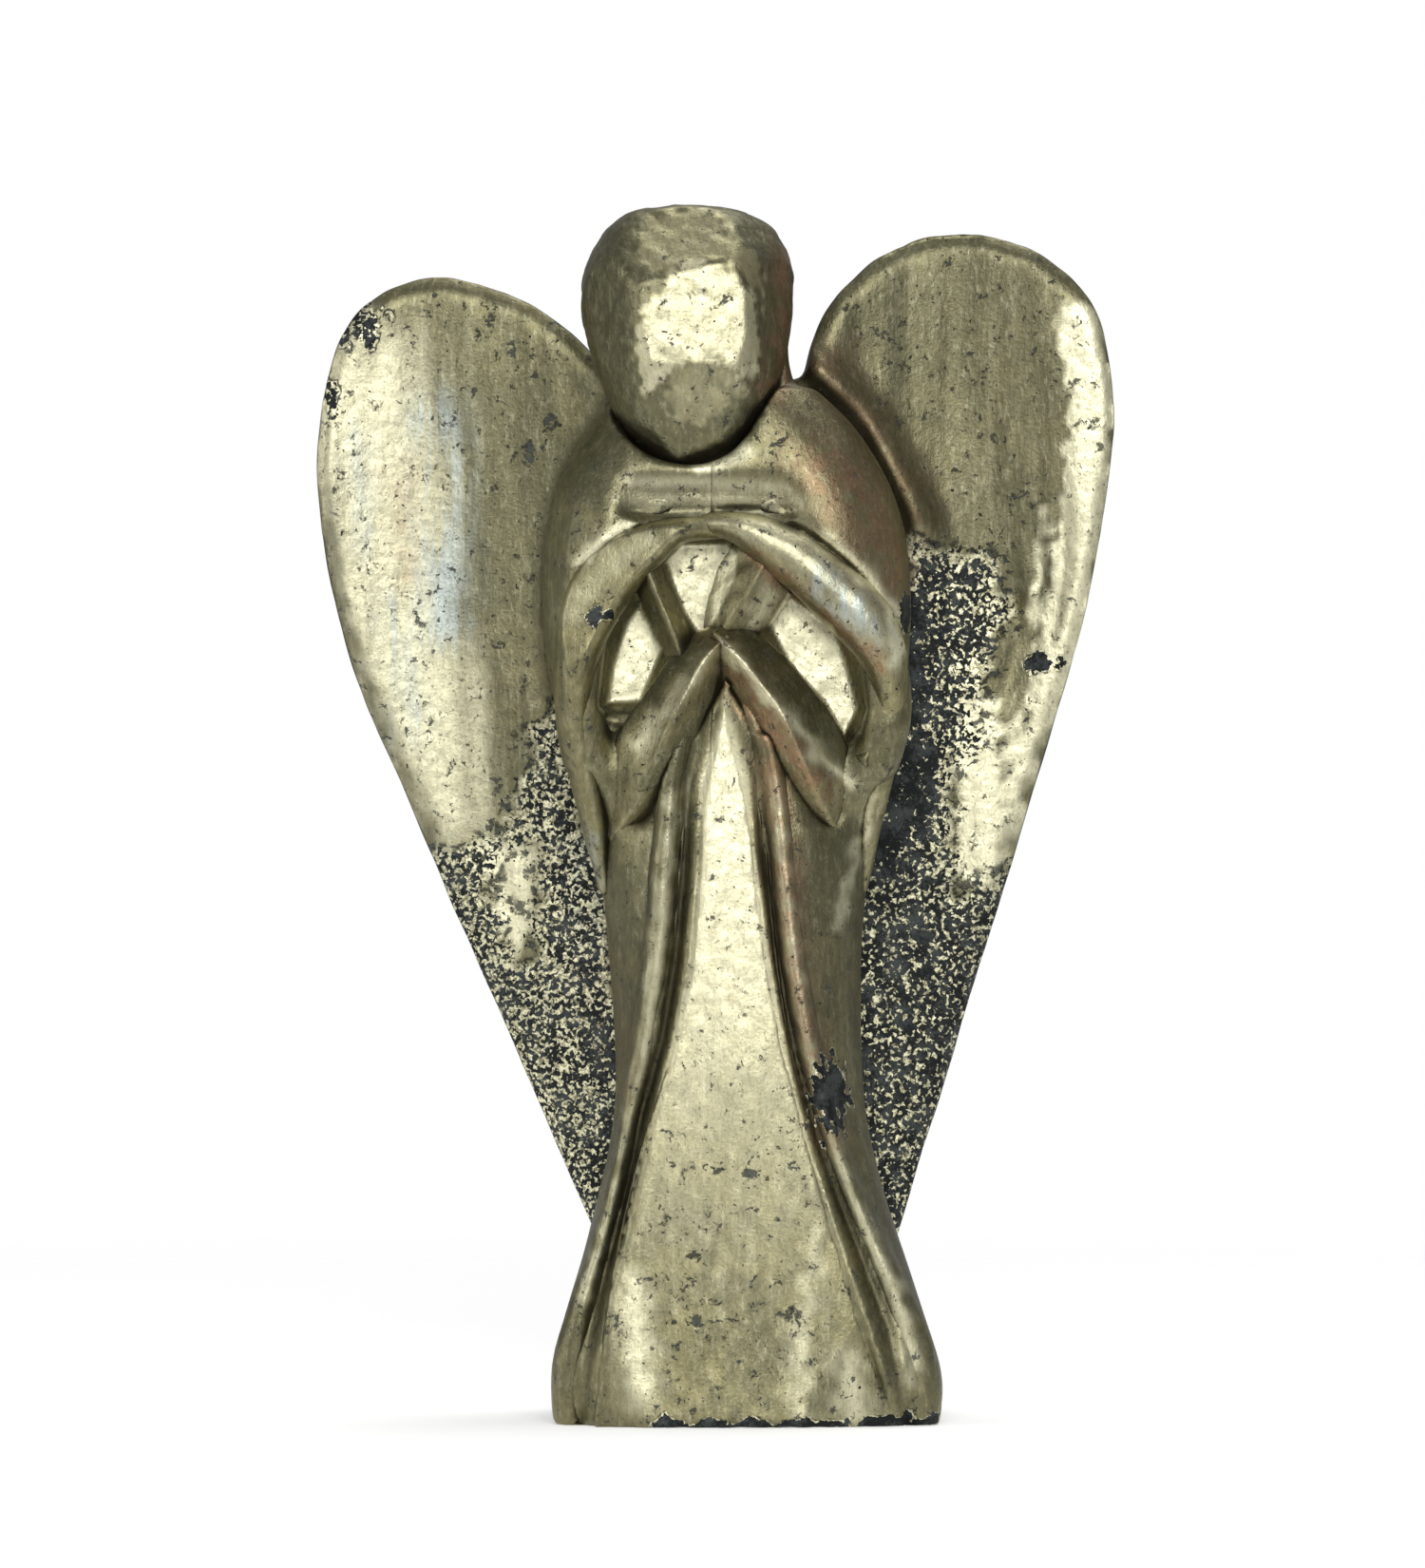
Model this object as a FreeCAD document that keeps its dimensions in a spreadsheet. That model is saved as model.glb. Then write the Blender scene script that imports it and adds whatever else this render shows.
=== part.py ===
"""Standing winged figurine carved from one block of polished stone, as a parametric document.

Millimetres. +X is the viewer's right, +Y is the back and +Z is up. The origin is on the standing surface, under
the middle of the figure's overall box. "left" and "right" are the viewer's left and right.
Each named sub-part is one carved form, and its neighbours meet it face to face along the carved creases.
"""
import FreeCAD, Part
import Sketcher
import math
import os
from types import SimpleNamespace

Vector = FreeCAD.Vector
doc = FreeCAD.newDocument("winged_figurine")

# ---------------------------------------------------------------- driving dimensions
# A "rise" or "drop" is a height above or below the level named beside it. An "out" is a distance sideways: from
# the gown's leaning centre line on the lapels, and from the middle of the wing span everywhere else. A "front" or
# "back" is a distance forward of the middle of the figure's depth, except on the wings, where it is behind it.
SIZES = {
    # stance
    "hem_shift": 2.0,             # the centre line's X at the standing surface
    "lean": 0.026,                # its drift towards -X for each millimetre of height
    "gown_corner": 5.4,           # corner radius of the gown's sections
    # gown sections: rise above the section below, half width, half depth
    "hem_half_width": 11.7, "hem_half_depth": 9.0,
    "swell_rise": 2.6, "swell_half_width": 12.2, "swell_half_depth": 9.4,
    "ankle_rise": 4.9, "ankle_half_width": 10.95, "ankle_half_depth": 9.0,
    "shin_rise": 5.0, "shin_half_width": 9.4, "shin_half_depth": 8.6,
    "knee_rise": 9.5, "knee_half_width": 7.7, "knee_half_depth": 8.2,
    "thigh_rise": 8.0, "thigh_half_width": 7.95, "thigh_half_depth": 7.7,
    "waist_rise": 6.5, "waist_half_width": 8.8, "waist_half_depth": 7.3,
    "elbow_rise": 6.5, "elbow_half_width": 10.5, "elbow_half_depth": 7.1,
    "chest_rise": 8.0, "chest_half_width": 11.6, "chest_half_depth": 7.7,
    "shoulder_rise": 7.0, "shoulder_half_width": 10.7, "shoulder_half_depth": 7.1,
    "yoke_rise": 4.0, "yoke_half_width": 8.6, "yoke_half_depth": 6.2,
    "collar_rise": 2.8, "collar_half_width": 6.0, "collar_half_depth": 5.6,
    # wings: outline in front view, then the front and back faces in plan view
    "wing_span": 50.5,
    "left_tip_out": 6.6, "left_tip_rise": 1.5,            # above the ankle
    "left_bend_out": 20.9, "left_bend_drop": 1.0,         # below the elbow
    "left_widest_rise": 2.0,                              # above the shoulder
    "left_crown_out": 17.4, "left_crown_rise": 7.25,      # above the collar
    "left_root_out": 7.3, "left_root_rise": 1.7,          # above the collar
    "left_lobe_out": 24.2, "left_lobe_rise": 9.4,         # above the shoulder
    "left_bend_radius": 43.6, "left_rim_radius": 26.6, "left_lobe_radius": 7.2, "left_slope_radius": 14.9,
    "right_tip_out": 10.6, "right_tip_rise": 0.9,
    "right_bend_out": 21.8, "right_bend_drop": -2.0,
    "right_widest_rise": 4.5,
    "right_crown_out": 15.7, "right_crown_rise": 10.0,
    "right_root_out": 5.6, "right_root_rise": 0.8,
    "right_lobe_out": 24.5, "right_lobe_rise": 10.9,
    "right_bend_radius": 86.8, "right_rim_radius": 30.0, "right_lobe_radius": 9.5, "right_slope_radius": 10.2,
    "spine_foot_drop": 3.0,       # below the elbow, where they part at the back
    "wing_face_inner": 0.7, "wing_face_outer": 1.1, "wing_hollow_radius": 38.0,
    "wing_face_start": 4.0,       # where the hollow of the front face starts, out from the middle
    "wing_back_inner": 9.0, "wing_back_outer": 7.5, "wing_back_radius": 120.0,
    "spine_groove_half_width": 2.2, "spine_groove_depth": 0.5,
    # head: half outline of the egg about its own centre, its place, and the flats ground on its face
    "head_x": -1.75, "head_front": 3.2, "head_rise": 3.2, "head_bow": 18.0,
    "head_top": 8.2, "head_temple_half": 4.4, "head_temple_rise": 7.0, "head_half_width": 6.6,
    "head_widest_rise": 3.0, "head_jaw_half": 3.7, "head_jaw_drop": 6.9, "head_chin_drop": 8.6,
    "head_temple_radius": 4.6, "head_cheek_radius": 18.0,
    "brow_flat_front": 1.6, "brow_flat_rise": 7.7, "face_flat_front": 5.7, "face_flat_rise": 3.9,
    "face_flat_drop": 3.2, "chin_flat_front": 3.5, "chin_flat_drop": 9.4,
    # neck, about the collar's level
    "neck_x": -0.4, "neck_radius": 4.9, "neck_waist_rise": 1.8, "neck_top_rise": 3.4,
    "neck_foot_radius": 6.3, "neck_foot_drop": 0.6, "neck_floor_drop": 2.4, "neck_flare_radius": 3.4,
    # neckline band, about the shoulder's level
    "band_left": 5.8, "band_right": 4.9, "band_drop": 1.7, "band_width": 2.8,
    "band_front": 6.5, "band_back": 4.4,
    "band_groove_rise": 0.7, "band_groove_pitch": 1.2, "band_groove_width": 0.5, "band_groove_depth": 0.35,
    # bodice: the floor of the hollows between the arms
    "bodice_front": 3.9, "bodice_back": 1.4,
    # sleeves: rolls that arch over the hollows and drop to the elbows
    "sleeve_apex_x": -0.3, "sleeve_apex_drop": 2.4,                # below the shoulder
    "sleeve_half_width": 1.5, "sleeve_front": 8.6, "sleeve_crown": 0.9,
    "left_sleeve_bend_out": 8.5, "left_sleeve_bend_drop": 7.45,    # below the arch's apex
    "right_sleeve_bend_out": 10.4, "right_sleeve_bend_drop": 8.35,
    "left_sleeve_end_out": 7.9, "right_sleeve_end_out": 9.6, "sleeve_end_drop": 2.6,      # below the elbow
    # forearms and hands: gabled beams that cross on the bodice
    "cross_x": 0.45, "cross_drop": 2.1,                            # below the chest
    "left_forearm_angle": 36.7, "left_forearm_length": 12.6,
    "right_forearm_angle": 40.8, "right_forearm_length": 13.3,
    "wrist_half_width": 1.45, "wrist_height": 4.6, "elbow_beam_half_width": 2.9, "elbow_beam_height": 4.9,
    "beam_side": 3.1,
    "left_hand_x": -2.3, "left_hand_drop": 1.7, "left_hand_angle": 16.5, "left_hand_length": 6.6,
    "left_hand_half_width": 1.0,
    "right_hand_x": 0.9, "right_hand_drop": 0.3, "right_hand_angle": 31.0, "right_hand_length": 6.4,
    "right_hand_half_width": 1.7,
    "hand_height": 4.0,
    # front panel of the gown: outline in front view, then its face in side and plan view
    "panel_hem_left": 7.6, "panel_hem_right": 11.3,
    "panel_knee_left": 3.8, "panel_knee_right": 5.2, "panel_knee_drop": 2.0,        # below the knee
    "panel_waist_left": 1.0, "panel_waist_right": 2.2, "panel_waist_rise": 1.0,     # above the waist
    "panel_apex_drop": 2.7,                                                         # below the crossing
    "panel_low_left_radius": 82.0, "panel_low_right_radius": 207.0,
    "panel_mid_left_radius": 57.0, "panel_mid_right_radius": 113.0,
    "panel_front_hem": 9.4, "panel_front_knee": 7.7, "panel_front_apex": 6.6, "panel_back": 3.0,
    "panel_side_radius": 160.0,
    "panel_flat_left": 4.6, "panel_flat_right": 5.6, "panel_flat_set": 0.3, "panel_flat_slope": 0.16,
    # lapels: rolls along both edges of the panel, set back from the gown's front where its corners are
    "lapel_half_width": 1.05, "lapel_foot_half_width": 1.35, "lapel_half_depth": 1.4, "lapel_sink": 0.7,
    "left_lapel_hem_out": 10.8, "left_lapel_hem_set": 2.5,
    "left_lapel_ankle_out": 9.7, "left_lapel_ankle_set": 2.0,
    "left_lapel_shin_out": 8.2, "left_lapel_shin_set": 2.0,
    "left_lapel_knee_out": 6.1, "left_lapel_knee_set": 1.5,
    "left_lapel_thigh_out": 4.8, "left_lapel_thigh_set": 0.5,
    "left_lapel_waist_out": 4.1, "left_lapel_waist_set": 0.1,
    "left_lapel_elbow_out": 3.2, "left_lapel_elbow_set": 0.1,
    "right_lapel_hem_out": 10.5, "right_lapel_hem_set": 2.0,
    "right_lapel_ankle_out": 9.4, "right_lapel_ankle_set": 1.7,
    "right_lapel_shin_out": 7.4, "right_lapel_shin_set": 1.2,
    "right_lapel_knee_out": 4.5, "right_lapel_knee_set": 0.5,
    "right_lapel_thigh_out": 3.35, "right_lapel_thigh_set": 0.1,
    "right_lapel_waist_out": 2.9, "right_lapel_waist_set": 0.1,
    "right_lapel_elbow_out": 2.0, "right_lapel_elbow_set": 0.1,
    # back fold of the robe, below the wings' parting
    "fold_half_width": 5.6, "fold_face": 4.0,
}

CLEAR = 14.0      # reach of a cut or block that has to run clear of the figure, front or back

sheet = doc.addObject("Spreadsheet::Sheet", "dims")
for row, (alias, number) in enumerate(SIZES.items(), start=1):
    sheet.set(f"A{row}", alias)
    sheet.set(f"B{row}", str(number))
    sheet.setAlias(f"B{row}", alias)
doc.recompute()


class Size:
    """A length worked out from the sheet's cells: its number now, and the expression that keeps it bound to them."""

    def __init__(self, text, value):
        self.text = text
        self.value = value

    def joined(self, sign, other, value):
        return Size(f"({self.text} {sign} {other.text})", value)

    def __add__(self, other):
        other = as_size(other)
        return self.joined("+", other, self.value + other.value)

    def __sub__(self, other):
        other = as_size(other)
        return self.joined("-", other, self.value - other.value)

    def __mul__(self, other):
        other = as_size(other)
        return self.joined("*", other, self.value * other.value)

    def __truediv__(self, other):
        other = as_size(other)
        return self.joined("/", other, self.value / other.value)

    def __radd__(self, other):
        return as_size(other) + self

    def __rsub__(self, other):
        return as_size(other) - self

    def __rmul__(self, other):
        return as_size(other) * self

    def __neg__(self):
        return 0 - self


def as_size(number):
    return number if isinstance(number, Size) else Size(f"({number})", float(number))


def smaller(one, other):
    return Size(f"min({one.text}; {other.text})", min(one.value, other.value))


dims = SimpleNamespace(**{alias: Size(f"dims.{alias}", number) for alias, number in SIZES.items()})


def dim(*words):
    """The size whose alias is these words joined, such as dim('left', 'tip_out')."""
    return getattr(dims, "_".join(words))


# ---------------------------------------------------------------- levels, each above the standing surface
SECTIONS = ("hem", "swell", "ankle", "shin", "knee", "thigh", "waist", "elbow", "chest", "shoulder", "yoke", "collar")
LEVELS = {"hem": as_size(0)}
for below, above in zip(SECTIONS, SECTIONS[1:]):
    LEVELS[above] = LEVELS[below] + dim(above, "rise")

CROSS_LEVEL = LEVELS["chest"] - dims.cross_drop
SLEEVE_APEX_LEVEL = LEVELS["shoulder"] - dims.sleeve_apex_drop
SLEEVE_END_LEVEL = LEVELS["elbow"] - dims.sleeve_end_drop
SPINE_TOP_LEVEL = LEVELS["collar"]
SPINE_FOOT_LEVEL = LEVELS["elbow"] - dims.spine_foot_drop
HEAD_LEVEL = LEVELS["collar"] + dims.head_rise
TOP_LEVEL = HEAD_LEVEL + dims.head_top


def centre_at(level):
    """X of the gown's leaning centre line."""
    return dims.hem_shift - level * dims.lean


# ---------------------------------------------------------------- sketches
def new_body(name):
    body = doc.addObject("PartDesign::Body", name)
    body.Label = name
    return body


def new_sketch(body, name, role, offset=(0, 0, 0)):
    """A sketch on one of the body's own origin planes, moved by offset along the plane's own axes."""
    sketch = body.newObject("Sketcher::SketchObject", name)
    plane = [feature for feature in body.Origin.OriginFeatures if feature.Role == role][0]
    sketch.AttachmentSupport = (plane, [""])
    sketch.MapMode = "FlatFace"
    for axis, distance in zip("xyz", offset):
        sketch.setExpression(f"AttachmentOffset.Base.{axis}", as_size(distance).text)
    return sketch


def bind(sketch, kind, *where, to):
    """Adds a dimension to a sketch and ties it to a size."""
    to = as_size(to)
    index = sketch.addConstraint(Sketcher.Constraint(kind, *where, to.value))
    sketch.setExpression(f"Constraints[{index}]", to.text)


def pin(sketch, curve, end, x, y):
    """Ties one end of a curve to a point."""
    bind(sketch, "DistanceX", -1, 1, curve, end, to=x)
    bind(sketch, "DistanceY", -1, 1, curve, end, to=y)


def arc_between(start, end, radius, side):
    """An arc, and which of its ends start is. Its centre is on the left of start to end if side is 1."""
    chord = end - start
    rise = math.sqrt(radius ** 2 - (chord.Length / 2) ** 2)
    across = Vector(-chord.y, chord.x, 0).normalize() * rise * side
    centre = (start + end) * 0.5 + across
    first, last = (start, end) if side > 0 else (end, start)
    turn_from = math.atan2(first.y - centre.y, first.x - centre.x)
    turn_to = math.atan2(last.y - centre.y, last.x - centre.x)
    if turn_to < turn_from:
        turn_to += 2 * math.pi
    circle = Part.Circle(centre, Vector(0, 0, 1), radius)
    return Part.ArcOfCircle(circle, turn_from, turn_to), (1 if side > 0 else 2)


def outline(sketch, corners):
    """A closed outline. A corner is (x, y) before a line, or (x, y, radius, side) before an arc."""
    points = [Vector(as_size(corner[0]).value, as_size(corner[1]).value, 0) for corner in corners]
    following = points[1:] + points[:1]
    ends = []
    for corner, start, end in zip(corners, points, following):
        if len(corner) == 2:
            curve = sketch.addGeometry(Part.LineSegment(start, end), False)
            ends.append((curve, 1))
        else:
            arc, first = arc_between(start, end, as_size(corner[2]).value, corner[3])
            ends.append((sketch.addGeometry(arc, False), first))
    for corner, (curve, first), (next_curve, next_first) in zip(corners, ends, ends[1:] + ends[:1]):
        sketch.addConstraint(Sketcher.Constraint("Coincident", curve, 3 - first, next_curve, next_first))
        pin(sketch, curve, first, corner[0], corner[1])
        if len(corner) > 2:
            bind(sketch, "Radius", curve, to=corner[2])


def rounded_rectangle(sketch, half_width, half_depth, corner):
    """A rectangle centred on the sketch's origin, with four equal corner arcs."""
    wide, deep, radius = half_width.value, half_depth.value, corner.value
    x, y = wide - radius, deep - radius
    lines = [((-x, -deep), (x, -deep)), ((wide, -y), (wide, y)), ((x, deep), (-x, deep)), ((-wide, y), (-wide, -y))]
    centres = [(x, -y), (x, y), (-x, y), (-x, -y)]
    for i, ((start, end), centre) in enumerate(zip(lines, centres)):
        sketch.addGeometry(Part.LineSegment(Vector(*start, 0), Vector(*end, 0)), False)
        circle = Part.Circle(Vector(*centre, 0), Vector(0, 0, 1), radius)
        sketch.addGeometry(Part.ArcOfCircle(circle, (i - 1) * math.pi / 2, i * math.pi / 2), False)
    for i in range(4):
        line, arc, next_line = 2 * i, 2 * i + 1, (2 * i + 2) % 8
        sketch.addConstraint(Sketcher.Constraint("Tangent", line, 2, arc, 1))
        sketch.addConstraint(Sketcher.Constraint("Tangent", arc, 2, next_line, 1))
        sketch.addConstraint(Sketcher.Constraint("Vertical" if i % 2 else "Horizontal", line))
    for arc in (3, 5, 7):
        sketch.addConstraint(Sketcher.Constraint("Equal", 1, arc))
    bind(sketch, "Radius", 1, to=corner)
    bind(sketch, "DistanceY", -1, 1, 0, 1, to=-half_depth)
    bind(sketch, "DistanceX", -1, 1, 2, 1, to=half_width)
    bind(sketch, "DistanceY", -1, 1, 4, 1, to=half_depth)
    bind(sketch, "DistanceX", -1, 1, 6, 1, to=-half_width)


def oval(sketch, half_across, half_up):
    """An ellipse centred on the sketch's origin, its long axis upright."""
    up, across = half_up.value, half_across.value
    sketch.addGeometry(Part.Ellipse(Vector(0, up, 0), Vector(-across, 0, 0), Vector(0, 0, 0)), False)
    sketch.exposeInternalGeometry(0)
    sketch.addConstraint(Sketcher.Constraint("Coincident", 0, 3, -1, 1))
    sketch.addConstraint(Sketcher.Constraint("Vertical", 1))
    bind(sketch, "Distance", 1, to=2 * half_up)
    bind(sketch, "Distance", 2, to=2 * half_across)


# ---------------------------------------------------------------- solid features
def pad(body, sketch, length, name):
    feature = body.newObject("PartDesign::Pad", name)
    feature.Profile = sketch
    feature.setExpression("Length", as_size(length).text)


def cut_through(body, sketch, name):
    """Removes the sketch's area from the body, right through it both ways."""
    feature = body.newObject("PartDesign::Pocket", name)
    feature.Profile = sketch
    feature.Type = "ThroughAll"
    feature.SideType = "Symmetric"
    return feature


def front_slab(name, corners, back, front):
    """A slab with its outline in front view, from a distance back to a distance front, both measured forward."""
    body = new_body(name)
    sketch = new_sketch(body, f"{name}_outline", "XZ_Plane", (0, 0, back))
    outline(sketch, corners)
    pad(body, sketch, front - back, f"{name}_slab")
    return body


def loft(body, sections, name, ruled=False):
    feature = body.newObject("PartDesign::AdditiveLoft", name)
    feature.Profile = sections[0]
    feature.Sections = sections[1:]
    feature.Ruled = ruled


def turned(body, sketch, name):
    """Revolves a sketch about its own vertical axis."""
    feature = body.newObject("PartDesign::Revolution", name)
    feature.Profile = sketch
    feature.ReferenceAxis = (sketch, ["V_Axis"])
    feature.Angle = 360


def place(body, x, y, z):
    body.setExpression("Placement.Base.x", as_size(x).text)
    body.setExpression("Placement.Base.y", as_size(y).text)
    body.setExpression("Placement.Base.z", as_size(z).text)


def tilt(body, axis, angle):
    body.Placement = FreeCAD.Placement(Vector(0, 0, 0), FreeCAD.Rotation(axis, angle.value))
    body.setExpression("Placement.Rotation.Angle", angle.text)


def less(name, base, tools):
    """base with every tool cut away, one after the other."""
    for tool in tools:
        cut = doc.addObject("Part::Cut", name if tool is tools[-1] else f"{name}_trim")
        cut.Base = base
        cut.Tool = tool
        base = cut
    base.Label = name
    return base


def shared(name, base, tool):
    both = doc.addObject("Part::Common", name)
    both.Base = base
    both.Tool = tool
    return both


# ---------------------------------------------------------------- gown
def gown_blank():
    body = new_body("gown_blank")
    sketches = []
    for section in SECTIONS:
        level = LEVELS[section]
        half_width, half_depth = dim(section, "half_width"), dim(section, "half_depth")
        corner = smaller(dims.gown_corner, 0.95 * smaller(half_width, half_depth))
        sketch = new_sketch(body, f"gown_{section}", "XY_Plane", (centre_at(level), 0, level))
        rounded_rectangle(sketch, half_width, half_depth, corner)
        sketches.append(sketch)
    loft(body, sketches, "gown_loft")
    return body


def half_block(hand, side):
    """Everything on one side of the leaning centre line."""
    far = side * dims.wing_span
    corners = [(centre_at(as_size(0)), 0), (centre_at(TOP_LEVEL), TOP_LEVEL), (far, TOP_LEVEL), (far, 0)]
    return front_slab(f"{hand}_half", corners, -CLEAR, as_size(CLEAR))


def fold_block():
    """The wedge of the robe's back that shows below the place where the wings part."""
    foot = centre_at(as_size(0))
    apex = LEVELS["elbow"]
    corners = [(foot - dims.fold_half_width, 0), (foot + dims.fold_half_width, 0), (centre_at(apex), apex)]
    return front_slab("fold_block", corners, -CLEAR, -dims.fold_face)


# ---------------------------------------------------------------- wings
def wing_outline_slab(hand, side):
    """The wing's outline in front view, clear of its front and back faces."""
    shoulder, collar = LEVELS["shoulder"], LEVELS["collar"]
    corners = [
        (side * dim(hand, "tip_out"), LEVELS["ankle"] + dim(hand, "tip_rise")),
        (side * dim(hand, "bend_out"), LEVELS["elbow"] - dim(hand, "bend_drop"), dim(hand, "bend_radius"), side),
        (side * dims.wing_span / 2, shoulder + dim(hand, "widest_rise"), dim(hand, "rim_radius"), side),
        (side * dim(hand, "lobe_out"), shoulder + dim(hand, "lobe_rise"), dim(hand, "lobe_radius"), side),
        (side * dim(hand, "crown_out"), collar + dim(hand, "crown_rise"), dim(hand, "slope_radius"), side),
        (side * dim(hand, "root_out"), collar + dim(hand, "root_rise")),
        (centre_at(SPINE_TOP_LEVEL), SPINE_TOP_LEVEL),
        (centre_at(SPINE_FOOT_LEVEL), SPINE_FOOT_LEVEL),
    ]
    return front_slab(f"{hand}_wing_outline_slab", corners, -CLEAR, as_size(0))


def wing_plan_slab(hand, side):
    """The wing in plan view: hollow in front, rounded behind, with half of the groove down the spine."""
    middle = centre_at(LEVELS["chest"])
    past_middle = middle - side * dims.wing_face_start
    past_rim = side * (dims.wing_span / 2 + 1)
    groove_floor = dims.wing_back_inner - dims.spine_groove_depth
    body = new_body(f"{hand}_wing_plan_slab")
    plan = new_sketch(body, f"{hand}_wing_plan", "XY_Plane")
    outline(plan, [
        (past_middle, dims.wing_face_inner),
        (side * dims.wing_face_start, dims.wing_face_inner, dims.wing_hollow_radius, -side),
        (past_rim, dims.wing_face_outer),
        (past_rim, dims.wing_back_outer, dims.wing_back_radius, side),
        (middle + side * dims.spine_groove_half_width, dims.wing_back_inner),
        (middle, groove_floor),
        (past_middle, groove_floor),
    ])
    pad(body, plan, TOP_LEVEL, f"{hand}_wing_plan_pad")
    return body


def wing_blank(hand, side):
    return shared(f"{hand}_wing_blank", wing_outline_slab(hand, side), wing_plan_slab(hand, side))


# ---------------------------------------------------------------- head and neck
def dome_radius(half_width, rise):
    """Radius of a dome centred on the axis, from its half width and its rise."""
    return (half_width * half_width + rise * rise) / (2 * rise)


def head_egg():
    """An egg about the head's own axis, bowed forward."""
    body = new_body("head_egg")
    half = new_sketch(body, "head_outline", "XZ_Plane")
    outline(half, [
        (0, -dims.head_chin_drop, dome_radius(dims.head_jaw_half, dims.head_chin_drop - dims.head_jaw_drop), 1),
        (dims.head_jaw_half, -dims.head_jaw_drop, dims.head_cheek_radius, 1),
        (dims.head_half_width, dims.head_widest_rise, dims.head_temple_radius, 1),
        (dims.head_temple_half, dims.head_temple_rise,
         dome_radius(dims.head_temple_half, dims.head_top - dims.head_temple_rise), 1),
        (0, dims.head_top),
    ])
    turned(body, half, "head_turning")
    tilt(body, Vector(-1, 0, 0), dims.head_bow)
    place(body, dims.head_x, -dims.head_front, HEAD_LEVEL)
    return body


def face_grinding():
    """What is ground off the egg's face: a brow flat, an upright flat and a chin flat."""
    body = new_body("face_grinding")
    side_view = new_sketch(body, "face_flats", "YZ_Plane", (0, 0, -dims.head_half_width - 1))
    outline(side_view, [
        (-dims.brow_flat_front, dims.brow_flat_rise),
        (-dims.face_flat_front, dims.face_flat_rise),
        (-dims.face_flat_front, -dims.face_flat_drop),
        (-dims.chin_flat_front, -dims.chin_flat_drop),
        (-CLEAR, -dims.chin_flat_drop),
        (-CLEAR, dims.brow_flat_rise),
    ])
    pad(body, side_view, 2 * dims.head_half_width + 2, "face_flats_slab")
    place(body, dims.head_x, -dims.head_front, HEAD_LEVEL)
    return body


def neck_blank():
    """A round neck that flares into the shoulders."""
    body = new_body("neck_blank")
    half = new_sketch(body, "neck_outline", "XZ_Plane")
    outline(half, [
        (0, -dims.neck_floor_drop),
        (dims.neck_foot_radius, -dims.neck_floor_drop),
        (dims.neck_foot_radius, -dims.neck_foot_drop, dims.neck_flare_radius, -1),
        (dims.neck_radius, dims.neck_waist_rise),
        (dims.neck_radius, dims.neck_top_rise),
        (0, dims.neck_top_rise),
    ])
    turned(body, half, "neck_turning")
    place(body, dims.neck_x, 0, LEVELS["collar"])
    return body


# ---------------------------------------------------------------- neckline band
def band_corners():
    bottom = LEVELS["shoulder"] - dims.band_drop
    top = bottom + dims.band_width
    return [(-dims.band_left, bottom), (dims.band_right, bottom), (dims.band_right, top), (-dims.band_left, top)]


def grooved_band():
    """A flat band let into the chest, with two parallel grooves across it."""
    body = front_slab("grooved_band", band_corners(), dims.band_back, dims.band_front)
    middle = LEVELS["shoulder"] - dims.band_drop + dims.band_groove_rise
    past_face = -dims.band_front - dims.band_groove_depth
    notch = new_sketch(body, "band_notch", "YZ_Plane")
    outline(notch, [
        (past_face, middle - dims.band_groove_width),
        (-dims.band_front + dims.band_groove_depth, middle),
        (past_face, middle + dims.band_groove_width),
    ])
    groove = cut_through(body, notch, "band_groove")
    doc.recompute()
    grooves = body.newObject("PartDesign::LinearPattern", "band_grooves")
    grooves.Originals = [groove]
    grooves.Direction = (notch, ["V_Axis"])
    grooves.setExpression("Length", dims.band_groove_pitch.text)
    grooves.Occurrences = 2
    body.Tip = grooves
    return body


# ---------------------------------------------------------------- sleeves, bodice, forearms and hands
def sleeve_bend(hand, side):
    return side * dim(hand, "sleeve_bend_out"), SLEEVE_APEX_LEVEL - dim(hand, "sleeve_bend_drop")


def sleeve_end(hand, side):
    return side * dim(hand, "sleeve_end_out"), SLEEVE_END_LEVEL


def arch_radius(hand, side):
    """Radius of the arc that leaves the apex level and reaches the sleeve's bend."""
    return dome_radius(dim(hand, "sleeve_bend_out") - side * dims.sleeve_apex_x, dim(hand, "sleeve_bend_drop"))


def hollow_corners():
    """Outline of the hollow in the chest: along both sleeves' middles and under the forearms."""
    return [
        sleeve_end("left", -1),
        (dims.cross_x, CROSS_LEVEL),
        sleeve_end("right", 1),
        (*sleeve_bend("right", 1), arch_radius("right", 1), 1),
        (dims.sleeve_apex_x, SLEEVE_APEX_LEVEL, arch_radius("left", -1), 1),
        sleeve_bend("left", -1),
    ]


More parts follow.
